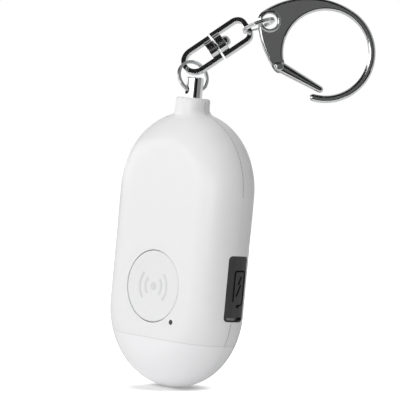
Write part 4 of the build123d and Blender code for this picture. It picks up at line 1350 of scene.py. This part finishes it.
@dataclass
class Stage:
    """Floor, backdrop, lamps and the cards that the chrome reflects."""

    ambient: float = 0.15
    floor_shade: Colour = (0.86, 0.86, 0.86)
    floor_reach: float = 4.0
    floor_glow: float = 0.05
    mirror_glow: float = 0.3
    table_glow: float = 0.1
    glow_start: float = 0.05
    glow_end: float = 1.0
    shade_shift: float = -0.5 * MM
    shade_width: float = 17.5 * MM
    shade_depth: float = 15.0 * MM
    shade_lean: float = 0.65
    shade_near: float = 4.0 * MM
    sheet_shade: float = 0.02
    sheet_near: float = 0.17
    sheet_far: float = 0.95
    sheet_left: float = -0.3
    sheet_right: float = 0.5
    sheet_lift: float = 1.0 * MM
    lamp_size: float = 0.8
    lamp_distance: float = 1.0
    card_distance: float = 0.9
    lamps: tuple[tuple[str, Place, float], ...] = (
        ("front_lamp", (-0.3, -1.0, 0.15), 1.3),
        ("left_lamp", (-1.0, -0.45, 0.2), 1.25),
        ("camera_lamp", (0.5, -0.87, 0.2), 4.1),
        ("upper_lamp", (-0.2, -0.6, 0.9), 4.0),
        ("back_lamp", (-0.6, 1.0, 0.2), 2.2),
    )
    cards: tuple[Card, ...] = (
        Card("grey_card", 0.12, -9.0, 9.0, -12.0, 12.0),
        Card("dark_right", 0.01, 9.0, 38.0, -20.0, 58.0),
        Card("grey_side", 0.3, 38.0, 90.0, -35.0, 58.0),
        Card("pale_side", 0.75, 90.0, 180.0, -35.0, 58.0),
        Card("dark_high", 0.01, -140.0, 9.0, 22.0, 58.0),
        Card("dark_near", 0.01, -38.0, 9.0, 12.0, 22.0),
        Card("grey_far", 0.42, -180.0, -140.0, 12.0, 58.0),
        Card("dark_top", 0.06, -90.0, 90.0, 58.0, 89.0, 24),
        Card("pale_top", 0.62, 90.0, 270.0, 58.0, 89.0, 24),
    )

    def floor(self, view: Viewpoint) -> None:
        """A wide pale floor that keeps the object's shadow, adds a painted soft shadow under the
        object and meets the white behind it.

        Args:
            view: The viewpoint whose level directions shape the shaded patch.
        """
        material = bpy.data.materials.new("pale_floor")
        tree = ShaderTree(material)
        matt = tree.node("BsdfDiffuse", None, {"Color": self.floor_shade})
        # Painted shadow: the glow to the camera drops to floor_glow in a leaned ellipse round the
        # foot, set by the shade_ fields, so the floor darkens there as well as in the real shadow
        # it keeps.
        ahead = tree.along(view.across) - self.shade_shift
        deep = tree.along(view.level_back) - self.shade_near
        deep = (deep + ahead * self.shade_lean) / self.shade_depth
        ahead = ahead / self.shade_width
        far = (ahead * ahead + deep * deep).between(self.glow_start, self.glow_end)
        strength = tree.ray("Camera") * (self.floor_glow + far * (1.0 - self.floor_glow))
        strength = strength.most(tree.ray("Glossy") * self.mirror_glow).most(self.table_glow)
        glow = tree.node("Emission", None, {"Color": WHITE, "Strength": strength})
        tree.output(tree.node("AddShader", None, {0: matt, 1: glow}))
        form = bmesh.new()
        ways = ((-1, -1), (1, -1), (1, 1), (-1, 1))
        reach = self.floor_reach
        form.faces.new([form.verts.new((reach * x, reach * y, 0.0)) for x, y in ways])
        made = mesh_object(form, "floor", material)
        made.location = (0.0, 0.0, cad_low[2])

    def world(self) -> None:
        """White to the camera and in reflections, and a plain soft light on the object."""
        world = bpy.data.worlds.new("studio")
        bpy.context.scene.world = world
        tree = ShaderTree(world)
        seen = tree.ray("Camera").most(tree.ray("Glossy")).most(tree.ray("Transmission"))
        strength = self.ambient + (1.0 - self.ambient) * seen
        light = tree.node("Background", None, {"Color": WHITE, "Strength": strength})
        tree.output(light, "World")

    def lamp(self, name: str, way: Place, power: float, middle: Vector) -> None:
        """One square soft lamp.

        Args:
            name: The lamp's name.
            way: Its direction from the object.
            power: Its power in watts.
            middle: What it points at.
        """
        data = bpy.data.lights.new(name, "AREA")
        data.shape = "SQUARE"
        data.size = self.lamp_size
        data.energy = power
        made = put(name, data)
        made.location = middle + Vector(way).normalized() * self.lamp_distance
        made.rotation_mode = "QUATERNION"
        made.rotation_quaternion = (middle - made.location).to_track_quat("-Z", "Y")

    def reflected(self, name: str, grid: Sequence[Sequence[Vector]], level: float) -> None:
        """Adds a sheet that only shows in reflections.

        Args:
            name: Its name.
            grid: Rows of its points.
            level: Its shade.
        """
        form = bmesh.new()
        weave(form, grid)
        material = bpy.data.materials.new(name)
        tree = ShaderTree(material)
        tree.output(tree.node("Emission", None, {"Color": (level,) * 3, "Strength": 1.0}))
        made = mesh_object(form, name, material)
        made.visible_camera = False
        made.visible_diffuse = False
        made.visible_shadow = False

    def card(self, card: Card, view: Viewpoint) -> None:
        """A curved card, placed by angles from the camera.

        Args:
            card: The card's shade and the angles that it spans.
            view: The viewpoint that the angles start from.
        """
        turns = map(math.radians, spaced(card.steps, card.left, card.right))
        level = [view.back * math.cos(turn) + view.right * math.sin(turn) for turn in turns]
        grid = []
        for rise in map(math.radians, spaced(card.steps, card.low, card.high)):
            ways = [way * math.cos(rise) + view.up * math.sin(rise) for way in level]
            grid.append([view.target + way * self.card_distance for way in ways])
        self.reflected(card.name, grid, card.shade)

    def sheet(self, view: Viewpoint) -> None:
        """A dark sheet on the table before the object.

        Args:
            view: The viewpoint whose level directions place the sheet.
        """
        lift = Vector((0.0, 0.0, cad_low[2] + self.sheet_lift))
        sides = [view.across * side + lift for side in (self.sheet_left, self.sheet_right)]
        reaches = [view.level_back * nearer for nearer in (self.sheet_near, self.sheet_far)]
        grid = [[side + reach for side in sides] for reach in reaches]
        self.reflected("dark_sheet", grid, self.sheet_shade)

    def build(self, view: Viewpoint) -> None:
        """Sets the whole stage.

        Args:
            view: The viewpoint that the cards are placed from.
        """
        self.world()
        self.floor(view)
        for name, way, power in self.lamps:
            self.lamp(name, way, power, view.target)
        for card in self.cards:
            self.card(card, view)
        self.sheet(view)


def main() -> None:
    """Builds the classes in order."""
    logging.basicConfig(level=logging.INFO, format="%(message)s")
    view = Viewpoint()
    view.build()
    Stage().build(view)
    for part in (Casing(), Electronics(), AlarmButton(), PortCover(), Chain()):
        part.build()
    bpy.context.scene.view_settings.view_transform = "Standard"


if __name__ == "__main__":
    main()
